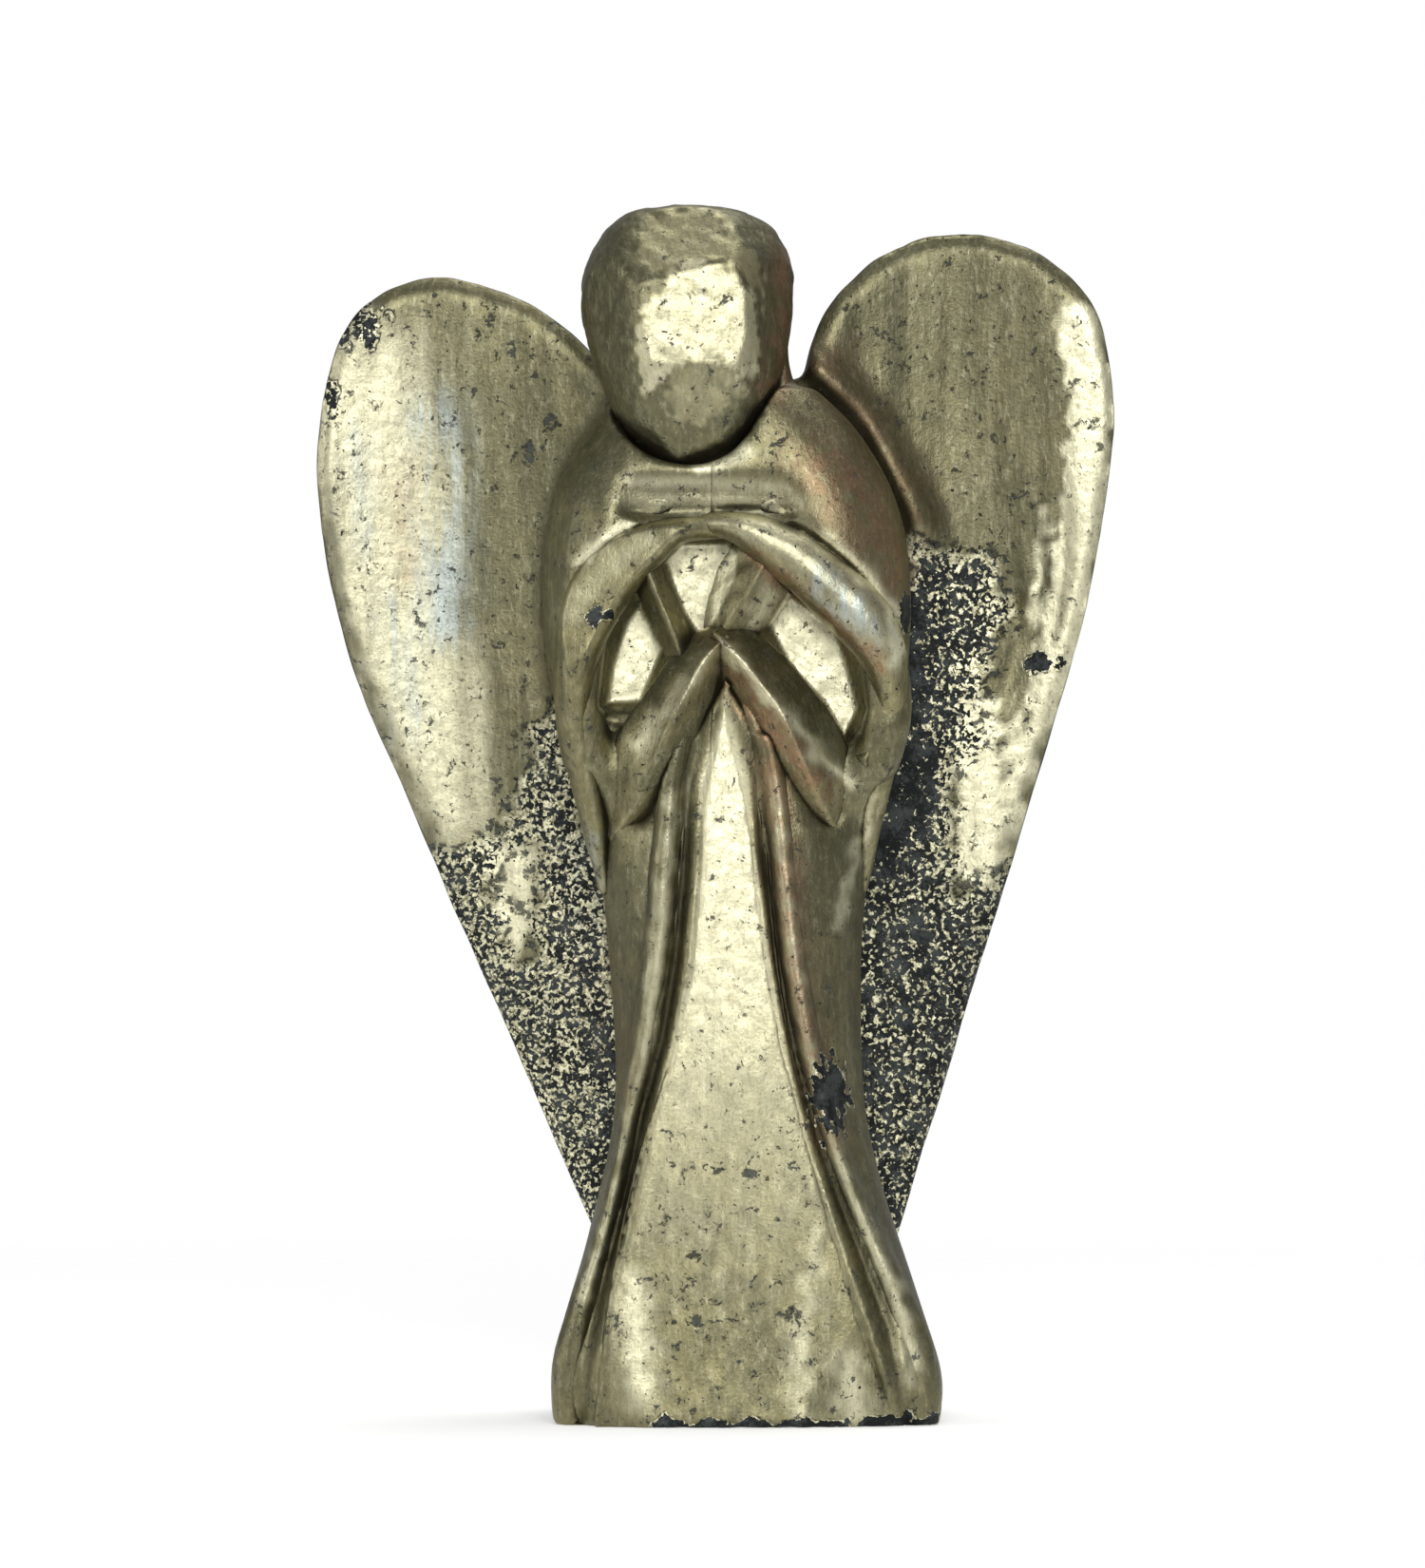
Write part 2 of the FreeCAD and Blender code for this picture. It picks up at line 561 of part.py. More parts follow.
def sleeve_blank(hand, side):
    """A round-fronted roll: one arc leaves the apex level, and a second runs down the arm from it."""
    body = new_body(f"{hand}_sleeve_blank")
    apex = Vector(dims.sleeve_apex_x.value, SLEEVE_APEX_LEVEL.value, 0)
    bend = Vector(*(size.value for size in sleeve_bend(hand, side)), 0)
    end = Vector(*(size.value for size in sleeve_end(hand, side)), 0)
    radius = arch_radius(hand, side)
    path = new_sketch(body, f"{hand}_sleeve_path", "XZ_Plane", (0, 0, dims.bodice_front))
    arch, arch_start = arc_between(apex, bend, radius.value, -side)
    path.addGeometry(arch, False)
    drop, drop_start = arc_between(bend, end, 2 * (end - bend).Length, -side)
    path.addGeometry(drop, False)
    pin(path, 0, arch_start, dims.sleeve_apex_x, SLEEVE_APEX_LEVEL)
    pin(path, 0, 3 - arch_start, *sleeve_bend(hand, side))
    bind(path, "Radius", 0, to=radius)
    path.addConstraint(Sketcher.Constraint("Tangent", 0, 3 - arch_start, 1, drop_start))
    pin(path, 1, 3 - drop_start, *sleeve_end(hand, side))
    profile = new_sketch(body, f"{hand}_sleeve_profile", "YZ_Plane", (0, 0, dims.sleeve_apex_x))
    low, high = SLEEVE_APEX_LEVEL - dims.sleeve_half_width, SLEEVE_APEX_LEVEL + dims.sleeve_half_width
    shoulder = dims.sleeve_front - dims.sleeve_crown
    crown = dome_radius(dims.sleeve_half_width, dims.sleeve_crown)
    outline(profile, [
        (-dims.bodice_front, high), (-shoulder, high, crown, 1), (-shoulder, low), (-dims.bodice_front, low),
    ])
    roll = body.newObject("PartDesign::AdditivePipe", f"{hand}_sleeve_roll")
    roll.Profile = profile
    roll.Spine = path
    return body


def beam(name, x, level, angle, length, near, far):
    """A beam with a gabled front, standing on the bodice. near and far are (half width, height) of its ends."""
    body = new_body(name)
    floor = -dims.bodice_front
    sketches = []
    for distance, (half_width, height) in ((0, near), (length, far)):
        sketch = new_sketch(body, f"{name}_end", "XY_Plane", (0, 0, distance))
        outline(sketch, [
            (-half_width, floor), (half_width, floor), (half_width, floor - dims.beam_side),
            (0, floor - height), (-half_width, floor - dims.beam_side),
        ])
        sketches.append(sketch)
    loft(body, sketches, f"{name}_solid", ruled=True)
    tilt(body, Vector(0, 1, 0), angle)
    place(body, x, 0, level)
    return body


def forearm_blank(hand, side):
    angle = 180 - side * dim(hand, "forearm_angle")
    wrist = (dims.wrist_half_width, dims.wrist_height)
    elbow = (dims.elbow_beam_half_width, dims.elbow_beam_height)
    length = dim(hand, "forearm_length")
    return beam(f"{hand}_forearm_blank", dims.cross_x, CROSS_LEVEL, angle, length, wrist, elbow)


def hand_blank(hand, side):
    end = (dim(hand, "hand_half_width"), dims.hand_height)
    level = CROSS_LEVEL - dim(hand, "hand_drop")
    angle = side * dim(hand, "hand_angle")
    return beam(f"{hand}_hand_blank", dim(hand, "hand_x"), level, angle, dim(hand, "hand_length"), end, end)


# ---------------------------------------------------------------- front panel and lapels
def panel_corners():
    """A tall flared shape with its apex between the forearms."""
    knee, waist = LEVELS["knee"] - dims.panel_knee_drop, LEVELS["waist"] + dims.panel_waist_rise
    return [
        (-dims.panel_hem_left, 0),
        (dims.panel_hem_right, 0, dims.panel_low_right_radius, -1),
        (dims.panel_knee_right, knee, dims.panel_mid_right_radius, -1),
        (dims.panel_waist_right, waist),
        (dims.cross_x, CROSS_LEVEL - dims.panel_apex_drop),
        (-dims.panel_waist_left, waist, dims.panel_mid_left_radius, -1),
        (-dims.panel_knee_left, knee, dims.panel_low_left_radius, 1),
    ]


def panel_blank():
    """The panel: slightly hollow along its height, with a flat ground down each side of its foot."""
    body = front_slab("panel_blank", panel_corners(), dims.panel_back, as_size(CLEAR))
    apex = CROSS_LEVEL - dims.panel_apex_drop
    face = new_sketch(body, "panel_face", "YZ_Plane")
    outline(face, [
        (-dims.panel_front_hem, 0, dims.panel_side_radius, 1),
        (-dims.panel_front_knee, LEVELS["knee"]),
        (-dims.panel_front_apex, apex),
        (-CLEAR - 1, apex),
        (-CLEAR - 1, 0),
    ])
    cut_through(body, face, "panel_face_cut")
    start = -dims.panel_front_hem + dims.panel_flat_set
    for hand, side in (("left", -1), ("right", 1)):
        edge, far = dim("panel_flat", hand), dims.wing_span / 2
        flat = new_sketch(body, f"panel_{hand}_flat", "XY_Plane")
        outline(flat, [
            (side * edge, start), (side * far, start + (far - edge) * dims.panel_flat_slope),
            (side * far, -CLEAR - 1), (side * edge, -CLEAR - 1),
        ])
        cut_through(body, flat, f"panel_{hand}_flat_cut")
    return body


def lapel_blank(hand, side):
    """A roll of oval section that follows the panel's edge from the hem to the forearm."""
    body = new_body(f"{hand}_lapel_blank")
    sketches = []
    for section in ("hem", "ankle", "shin", "knee", "thigh", "waist", "elbow"):
        level = LEVELS[section]
        x = centre_at(level) + side * dim(hand, "lapel", section, "out")
        y = dim(hand, "lapel", section, "set") + dims.lapel_sink - dim(section, "half_depth")
        half_width = dims.lapel_foot_half_width if section in ("hem", "ankle") else dims.lapel_half_width
        sketch = new_sketch(body, f"{hand}_lapel_{section}", "XY_Plane", (x, y, level))
        oval(sketch, half_width, dims.lapel_half_depth)
        sketches.append(sketch)
    loft(body, sketches, f"{hand}_lapel_loft")
    return body


# ---------------------------------------------------------------- the forms, each less what the forms over it take
SIDES = (("left", -1), ("right", 1))

gown = gown_blank()
neck = neck_blank()
fold = fold_block()
halves = {hand: half_block(hand, side) for hand, side in SIDES}
wings = {hand: wing_blank(hand, side) for hand, side in SIDES}
sleeves = {hand: sleeve_blank(hand, side) for hand, side in SIDES}
forearms = {hand: forearm_blank(hand, side) for hand, side in SIDES}
hands = {hand: hand_blank(hand, side) for hand, side in SIDES}
lapels = {hand: lapel_blank(hand, side) for hand, side in SIDES}
hollow = front_slab("hollow", hollow_corners(), dims.bodice_back, as_size(CLEAR))
band_opening = front_slab("band_opening", band_corners(), dims.band_back, as_size(CLEAR))
panel_opening = front_slab("panel_opening", panel_corners(), dims.panel_back, as_size(CLEAR))

head = less("head", head_egg(), [face_grinding()])
left_forearm = forearms["left"]
left_forearm.Label = "left_forearm"

PARTS = [
    head,
    less("neck", neck, [head, *wings.values()]),
    less("neckline_band", grooved_band(), [head, *sleeves.values()]),
    front_slab("bodice", hollow_corners(), dims.bodice_back, dims.bodice_front),
    left_forearm,
    less("right_forearm", forearms["right"], [left_forearm]),
    less("left_hand", hands["left"], [*forearms.values(), *sleeves.values()]),
    less("right_hand", hands["right"], [*forearms.values(), *sleeves.values(), hands["left"]]),
    less("front_panel", panel_blank(), [*forearms.values(), *lapels.values()]),
    less("robe_back", shared("robe_back_block", gown, fold), list(wings.values())),
]
for hand, side in SIDES:
    PARTS.append(less(f"{hand}_wing", wings[hand], [head]))
    PARTS.append(less(f"{hand}_sleeve", sleeves[hand], list(forearms.values())))
    PARTS.append(less(f"{hand}_lapel", lapels[hand], list(forearms.values())))
    PARTS.append(less(f"{hand}_mantle", shared(f"{hand}_mantle_block", gown, halves[hand]), [
        *wings.values(), neck, head, band_opening, hollow, panel_opening, *sleeves.values(),
        *forearms.values(), *hands.values(), *lapels.values(), fold,
    ]))
doc.recompute()

# ---------------------------------------------------------------- checks and export
for item in doc.Objects:
    if "Invalid" in item.State or "Error" in item.State:
        raise RuntimeError(f"{item.Name} is {item.State}")
for part in PARTS:
    if part.Shape.isNull() or not part.Shape.isValid():
        raise RuntimeError(f"{part.Label} has no valid shape")

os.makedirs("parts", exist_ok=True)
for part in PARTS:
    part.Shape.exportStep(f"parts/{part.Label}.step")
    print(part.Label, len(part.Shape.Solids), round(part.Shape.Volume, 1))
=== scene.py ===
import math

import bmesh
import bpy
import numpy as np
from mathutils import Matrix, Vector
from mathutils.bvhtree import BVHTree
from mathutils.kdtree import KDTree


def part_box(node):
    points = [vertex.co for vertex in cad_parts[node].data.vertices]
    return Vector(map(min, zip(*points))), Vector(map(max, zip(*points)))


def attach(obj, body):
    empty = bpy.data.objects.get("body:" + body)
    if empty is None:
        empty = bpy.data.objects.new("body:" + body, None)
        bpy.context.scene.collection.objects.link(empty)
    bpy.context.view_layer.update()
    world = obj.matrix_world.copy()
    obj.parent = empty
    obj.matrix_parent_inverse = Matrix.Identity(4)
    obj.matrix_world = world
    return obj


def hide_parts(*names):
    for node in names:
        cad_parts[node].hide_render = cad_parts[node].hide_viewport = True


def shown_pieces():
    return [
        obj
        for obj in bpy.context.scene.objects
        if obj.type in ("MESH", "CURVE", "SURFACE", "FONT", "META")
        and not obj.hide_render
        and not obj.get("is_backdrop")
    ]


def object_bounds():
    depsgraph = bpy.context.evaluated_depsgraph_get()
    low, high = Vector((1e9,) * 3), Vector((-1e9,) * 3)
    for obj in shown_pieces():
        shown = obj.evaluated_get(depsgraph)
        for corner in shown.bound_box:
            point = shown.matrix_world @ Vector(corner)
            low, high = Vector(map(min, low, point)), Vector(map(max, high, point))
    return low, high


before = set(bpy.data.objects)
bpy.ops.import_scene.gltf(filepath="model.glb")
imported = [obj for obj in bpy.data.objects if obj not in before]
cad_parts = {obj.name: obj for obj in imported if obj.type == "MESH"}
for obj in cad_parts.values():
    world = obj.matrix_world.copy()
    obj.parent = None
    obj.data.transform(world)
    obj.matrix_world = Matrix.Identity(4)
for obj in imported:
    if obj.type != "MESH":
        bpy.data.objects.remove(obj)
frame_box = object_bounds()

bl_info = {
    "name": "Pyrite Angel",
    "version": (1, 0, 0),
    "blender": (4, 5, 0),
    "location": "3D View > Sidebar > Angel",
    "description": "Carves and finishes a winged figurine of polished pyrite around its packed frame",
    "category": "Add Mesh",
}

MM = 0.001                 # a millimetre in metres; shapes are carved in millimetres
FINE_GRAIN = 0.15          # grains of the skins that carry small forms, in millimetres
BEAM_GRAIN = 0.16
FLOOR_GRAIN = 0.18
ROLL_GRAIN = 0.2
PANEL_GRAIN = 0.22
GOWN_MIDDLE = -0.3         # X where the gown's two halves meet
WALL_SLOPE = 1.5           # rise of the hollows' walls for each step away from their floors
WALL_HEIGHT = 2.7
LEDGE_DROP = 1.4           # how much lower the wall under the left hollow stops
CREASE_REACH = 2.6         # how far a crease looks for stone that closes it in
CREASE_PROBES = 9

# Outlines in the front view, in millimetres: X to the viewer's right and Z up from the standing surface.
HOLLOWS = (
    ((-3.2, 53.8), (-2.2, 54.9), (0.6, 54.9), (1.3, 54.2), (1.2, 52.8), (0.0, 50.2), (-0.6, 49.5),
     (-1.2, 49.4), (-2.0, 50.6)),
    ((-4.8, 51.0), (-3.4, 48.3), (-4.7, 45.1), (-6.8, 45.0), (-6.5, 47.2), (-5.6, 50.0)),
    ((4.4, 51.8), (3.3, 49.9), (4.6, 47.4), (6.8, 45.0), (8.0, 43.0), (8.8, 44.6), (8.1, 47.5),
     (7.2, 49.8)))
PANEL = (
    (-7.6, -1.0), (-7.4, 5.0), (-5.4, 12.0), (-3.8, 20.0), (-1.8, 28.0), (-1.0, 36.0), (-1.1, 40.0),
    (0.65, 45.8), (2.1, 40.0), (2.3, 36.0), (3.5, 28.0), (5.2, 20.0), (7.9, 12.0), (10.6, 4.0),
    (11.4, -1.0))
BLACK_LEFT = (
    (-9.5, 46.0), (-11.6, 43.5), (-12.4, 39.5), (-14.6, 36.3), (-19.5, 35.2), (-19.5, 5.0), (-2.0, 5.0))
BLACK_RIGHT = (
    (12.4, 55.5), (16.6, 54.3), (18.8, 50.8), (17.2, 47.3), (16.3, 44.0), (14.9, 41.0), (14.6, 36.0),
    (15.5, 33.3), (18.6, 34.6), (20.5, 33.0), (12.0, 5.0), (2.0, 5.0), (8.0, 40.0))
SLATE = (
    (12.6, 54.6), (14.0, 53.6), (13.6, 47.0), (14.6, 43.0), (14.0, 36.0), (12.8, 34.0), (8.5, 34.0),
    (9.8, 42.0))
GOLD_TONGUE = ((-14.9, 36.3), (-11.4, 36.0), (-11.6, 31.0), (-12.6, 28.8), (-13.6, 30.5))
# Painted highlight: a bright field on the left wing, where it faces the light.
LEFT_HIGHLIGHT = (
    (-23.8, 66.0), (-20.5, 68.0), (-18.6, 60.0), (-18.0, 50.0), (-15.6, 43.0), (-15.4, 37.0),
    (-19.6, 38.0), (-23.2, 49.0), (-24.5, 58.0))
LEFT_RIM = ((-25.4, 58.0), (-24.4, 52.0), (-21.6, 44.3), (-17.8, 35.5))
COVES = (
    ((-8.6, -1.0), (-7.6, 7.0), (-6.2, 12.0), (-4.7, 19.0), (-3.3, 24.0), (-2.5, 29.0), (-2.1, 34.0),
     (-1.8, 40.0), (-0.7, 44.4)),
    ((12.1, -1.0), (10.6, 6.0), (8.8, 11.0), (6.6, 17.0), (5.0, 23.0), (3.9, 29.0), (3.2, 35.0),
     (2.8, 40.0), (2.0, 44.0)))
# Strokes: a path, then its half width and its strength.
# Painted highlights: bright strokes on flats, ridges and rims that face the light.
HIGHLIGHT_STROKES = (
    (((5.4, 55.5), (8.4, 53.8), (10.9, 50.9), (11.3, 47.6)), 0.45, 1.0),
    (((-5.9, 55.9), (-8.4, 53.9)), 0.3, 0.8),
    (((0.6, 48.4), (3.0, 45.5), (6.0, 42.3), (8.2, 40.0)), 0.35, 0.75),
    (((-0.3, 47.8), (-3.5, 44.2), (-4.8, 42.2)), 0.45, 0.5),
    (((22.9, 69.0), (23.8, 64.0), (23.2, 57.0), (22.3, 51.0), (20.9, 45.0)), 1.25, 1.0),
    (((20.9, 57.0), (20.0, 50.0)), 0.6, 0.5),
    (((21.5, 46.0), (19.4, 42.0), (18.4, 37.0)), 1.6, 0.55),
    (((16.6, 44.0), (16.6, 35.0)), 1.3, 0.9),
    (((9.6, 39.0), (8.7, 35.0), (7.6, 31.0)), 0.3, 0.45),
    (((-8.2, 8.0), (-5.6, 16.0), (-4.2, 24.0), (-3.3, 32.0), (-2.6, 39.0)), 0.4, 0.4),
    (((12.4, 3.0), (11.3, 8.0), (7.4, 16.0), (5.4, 24.0), (4.3, 32.0), (3.5, 40.0)), 0.45, 0.5),
    (((-5.5, 58.7), (-1.0, 58.7), (4.0, 58.3)), 0.35, 0.35),
    (((1.8, 56.2), (4.6, 54.8), (7.6, 52.4), (10.3, 49.0)), 0.8, 0.45),
    (((-4.6, 55.0), (-7.0, 53.0), (-9.2, 50.5)), 0.7, 0.22),
    (((-1.5, 56.4), (3.2, 56.4)), 0.35, 0.4),
    (((-5.5, 57.6), (4.6, 57.4)), 0.5, 0.25),
    (((2.4, 50.2), (3.6, 52.6)), 0.5, 0.3),
    (((-1.0, 59.6), (1.6, 60.6)), 0.4, 0.9),
    (((-4.8, 2.0), (-5.2, 9.0)), 0.8, 0.6),
    (((5.3, 0.8), (5.0, 6.0), (6.4, 12.0)), 0.6, 0.35),
    (((8.6, 0.8), (8.2, 4.0)), 0.8, 0.5),
)
# Painted shade: strokes that darken sides and facets turned from the light.
SHADE_STROKES = (
    (((-12.2, 67.0), (-13.4, 58.0), (-13.2, 50.0), (-12.4, 44.0)), 2.6, 0.75),
    (((-24.5, 53.0), (-21.5, 44.5), (-17.6, 35.5)), 0.7, 0.95),
    (((-22.0, 69.5), (-17.0, 71.0), (-12.0, 69.0)), 2.2, 0.8),
    (((9.5, 70.0), (13.5, 72.5), (19.0, 72.0)), 2.6, 0.6),
    (((14.0, 66.0), (16.5, 56.0), (18.5, 48.0)), 3.2, 0.55),
    (((-2.0, 51.0), (-3.4, 53.8)), 0.35, 1.0),
    (((2.2, 48.6), (4.8, 46.0), (8.4, 41.5)), 1.1, 1.3),
    (((-2.4, 47.6), (-6.6, 42.6)), 0.6, 1.0),
    (((-0.6, 44.4), (-3.4, 40.0)), 1.2, 1.2),
)
COPPER_STROKES = (
    (((7.0, 60.0), (9.5, 57.0), (11.0, 53.5)), 2.0, 0.75),
    (((4.4, 74.0), (4.6, 69.0), (3.6, 64.5)), 0.9, 0.9),
    (((1.0, 46.6), (4.4, 42.2), (6.6, 39.4)), 0.8, 0.9),
    (((2.4, 54.0), (6.0, 50.9), (10.2, 47.2)), 0.45, 0.9),
    (((3.4, 41.0), (4.6, 30.0), (6.8, 18.0)), 0.9, 0.75),
    (((7.0, 66.5), (9.5, 62.0), (12.4, 57.5)), 1.3, 0.5),
    (((-20.0, 60.0), (-19.4, 53.0)), 1.0, 0.4),
    (((-9.2, 34.0), (-6.6, 22.0)), 1.2, 0.35),
    (((-1.0, 49.6), (1.2, 46.0)), 0.4, 0.3),
)
BLUE_STROKES = (
    (((-17.8, 63.0), (-17.4, 50.0)), 1.4, 0.62),
    (((-20.4, 51.0), (-19.0, 43.0)), 1.0, 0.45),
    (((-22.8, 62.0), (-22.4, 55.0)), 0.8, 0.35),
    (((6.6, 52.6), (10.2, 49.4)), 0.8, 0.65),
    (((-8.4, 36.0), (-8.2, 30.0)), 0.8, 0.5),
)
# Painted highlights on the head: its bright flat, the flat under it and the brow.
HEAD_HIGHLIGHTS = (
    ((-1.6, 72.6), (1.0, 71.9), (2.6, 70.2), (2.8, 67.5), (2.2, 65.0), (1.2, 63.8), (-1.0, 65.6),
     (-3.0, 65.2), (-4.4, 64.0), (-5.2, 66.5), (-4.6, 69.2), (-3.2, 71.2)),
    ((-3.1, 65.2), (-1.8, 66.3), (0.5, 66.3), (1.7, 64.8), (0.6, 62.9), (-1.2, 62.2), (-2.9, 63.0)),
    ((-4.6, 75.0), (-2.2, 75.9), (0.2, 75.4), (1.4, 73.6), (2.9, 72.2), (2.6, 70.6), (0.0, 72.6),
     (-3.6, 71.6), (-5.0, 73.0)))
WING_FOLD = ((5.8, 66.5), (9.0, 64.0), (11.2, 60.0), (12.8, 57.0), (14.2, 54.0))
WING_GROOVES = (
    ((20.2, 58.0), (20.8, 52.0), (19.4, 46.0)),
    ((18.6, 55.0), (19.2, 49.0), (17.9, 44.0)),
    ((21.9, 60.0), (22.0, 53.0), (20.8, 47.0)))
# Flats ground on the head, the bright one first: which way each faces, its depth and its edges' softness.
HEAD_FLATS = (
    ((0.06, -1.0, 0.05), 0.95, 0.06), ((0.04, -0.95, -0.33), 0.98, 0.06),
    ((-0.08, -0.82, 0.58), 0.95, 0.08), ((-0.80, -0.62, -0.05), 0.45, 0.20),
    ((0.82, -0.58, 0.05), 0.42, 0.14), ((0.30, -0.60, -0.80), 0.45, 0.25),
    ((-0.55, -0.55, -0.62), 0.40, 0.25), ((0.62, -0.55, 0.62), 0.30, 0.20))
# Black marks: X, Z, half width, half height and strength: solid above 1, only veins below 0.5.
MARKS = (
    (-7.1, 50.3, 0.75, 0.45, 1.7), (11.9, 50.6, 0.45, 1.0, 1.7), (20.6, 47.6, 0.9, 0.5, 1.7),
    (-22.7, 69.2, 1.3, 1.3, 1.0), (0.1, 16.1, 0.75, 0.32, 0.3), (2.4, 15.6, 0.7, 0.3, 0.3),
    (-1.5, 6.6, 1.0, 0.3, 0.3), (4.6, 7.0, 0.6, 0.5, 0.3), (-1.3, 10.6, 0.5, 0.35, 0.3),
    (7.0, 20.6, 0.9, 2.1, 1.7), (-24.4, 64.5, 0.45, 0.9, 1.0), (23.6, 62.6, 0.9, 0.35, 0.3),
    (-10.6, 62.6, 0.5, 0.7, 0.3), (-11.9, 60.9, 0.35, 0.8, 0.3), (18.4, 50.6, 0.6, 0.5, 0.3))


# ---------- sizes and colours a user would change

def length(title, text, default):
    """A length given in millimetres, as a property in metres."""
    return bpy.props.FloatProperty(
        name=title, description=text, default=default * MM, min=0.01 * MM, max=50 * MM, unit="LENGTH")


def setting(name):
    """One of the carving's sizes, in millimetres."""
    return round(getattr(bpy.context.scene.angel_carving, name) / MM, 6)


def tone(title, text, default):
    """A stone colour, as a property."""
    return bpy.props.FloatVectorProperty(
        name=title, description=text, default=default, subtype="COLOR", size=3, min=0.0, max=1.0)


class AngelCarving(bpy.types.PropertyGroup):
    """Sizes of the carving."""
    grain: length("Skin grain", "Side of the even squares that a carved skin is made of", 0.25)
    wing_grain: length("Wing grain", "Side of the squares on the two wings", 0.3)
    wobble: length("Hand wobble", "How far hand grinding strays from a true surface", 0.07)
    rim_wear: length("Rim wear", "How far the wings' rims are rounded over", 1.1)
    rim_taper: length("Rim taper", "How much thinner the wings are at their rims", 2.8)


class AngelStone(bpy.types.PropertyGroup):
    """Colours of the stone; olive and dirt also stand for painted shade, and cream for painted
    highlights.
    """
    brass: tone("Brass", "Polished pyrite", (0.30, 0.268, 0.135))
    # olive is also the painted shade on surfaces turned from the light
    olive_and_shade: tone("Olive", "Duller pyrite", (0.145, 0.137, 0.078))
    # cream is also the painted highlight on faces turned to the light
    cream_and_highlight: tone("Cream", "Freshly ground pyrite", (0.93, 0.897, 0.625))
    copper: tone("Copper", "Warm tarnish", (0.30, 0.185, 0.105))
    tarnish: tone("Tarnish", "Blue tarnish", (0.42, 0.50, 0.52))
    matrix: tone("Matrix", "Black host rock", (0.012, 0.014, 0.014))
    slate: tone("Slate", "Paler grains of the host rock", (0.058, 0.066, 0.064))
    # dirt is also painted shade in creases, coves and the wings' rims
    dirt_and_shade: tone("Dirt", "Polish left in the creases", (0.040, 0.034, 0.018))


class AngelStage(bpy.types.PropertyGroup):
    """Light and camera."""
    key: bpy.props.FloatProperty(
        name="Key light", description="Power of the front light", default=0.88, unit="POWER")
    lens: bpy.props.FloatProperty(name="Lens", description="Focal length", default=200.0, unit="CAMERA")
    distance: bpy.props.FloatProperty(
        name="Camera distance", description="From the middle of the figure", default=0.549, unit="LENGTH")


# ---------- carving tools

def ramp(value, low, high):
    """0 below low, 1 above high and an easy slope between them."""
    share = np.clip((value - low) / (high - low), 0.0, 1.0)
    return share * share * (3.0 - 2.0 * share)


def bell(value, middle, width):
    """1 at the middle, falling to almost nothing at twice the width."""
    return np.exp(-((value - middle) / width) ** 2)


def through(stations, count):
    """An easy curve of count points through the stations."""
    known = np.array(stations, dtype=float)
    place = np.linspace(0, len(known) - 1, count)
    first = np.minimum(place.astype(int), len(known) - 2)
    share = (place - first)[:, None]
    padded = np.vstack([2 * known[0] - known[1], known, 2 * known[-1] - known[-2]])
    a, b, c, d = (padded[first + step] for step in range(4))
    return 0.5 * (2 * b + (c - a) * share + (2 * a - 5 * b + 4 * c - d) * share ** 2
                  + (3 * b - a - 3 * c + d) * share ** 3)


def path_distance(path, x, z):
    """Distance in the front view from a path, and how far along it, from 0 to 1."""
    path = np.array(path, dtype=float)
    best = np.full(len(x), 1e9)
    along = np.zeros(len(x))
    for index, (start, end) in enumerate(zip(path[:-1], path[1:])):
        run = end - start
        share = np.clip(((x - start[0]) * run[0] + (z - start[1]) * run[1]) / max(run @ run, 1e-9), 0, 1)
        away = np.hypot(x - start[0] - share * run[0], z - start[1] - share * run[1])
        nearer = away < best
        best = np.where(nearer, away, best)
        along = np.where(nearer, (index + share) / (len(path) - 1), along)
    return best, along


def inside(corners, x, z):
    """Signed distance in the front view from a closed outline: above 0 inside it."""
    ring = list(corners) + [corners[0]]
    away, _ = path_distance(ring, x, z)
    odd = np.zeros(len(x), dtype=bool)
    for (ax, az), (bx, bz) in zip(ring[:-1], ring[1:]):
        crosses = (az > z) != (bz > z)
        odd ^= crosses & (x < (bx - ax) * (z - az) / ((bz - az) or 1e-9) + ax)
    return np.where(odd, away, -away)


def unevenness(at, size, seed):
    """A soft waviness from -1 to 1 with swells of about the size given."""
    dice = np.random.default_rng(seed)
    total = np.zeros(len(at))
    for _ in range(9):
        heading = dice.normal(size=3)
        heading *= 2 * math.pi / (size * dice.uniform(0.7, 1.6) * np.linalg.norm(heading))
        total += np.sin(at @ heading + dice.uniform(0, 2 * math.pi))
    return total / 4.0


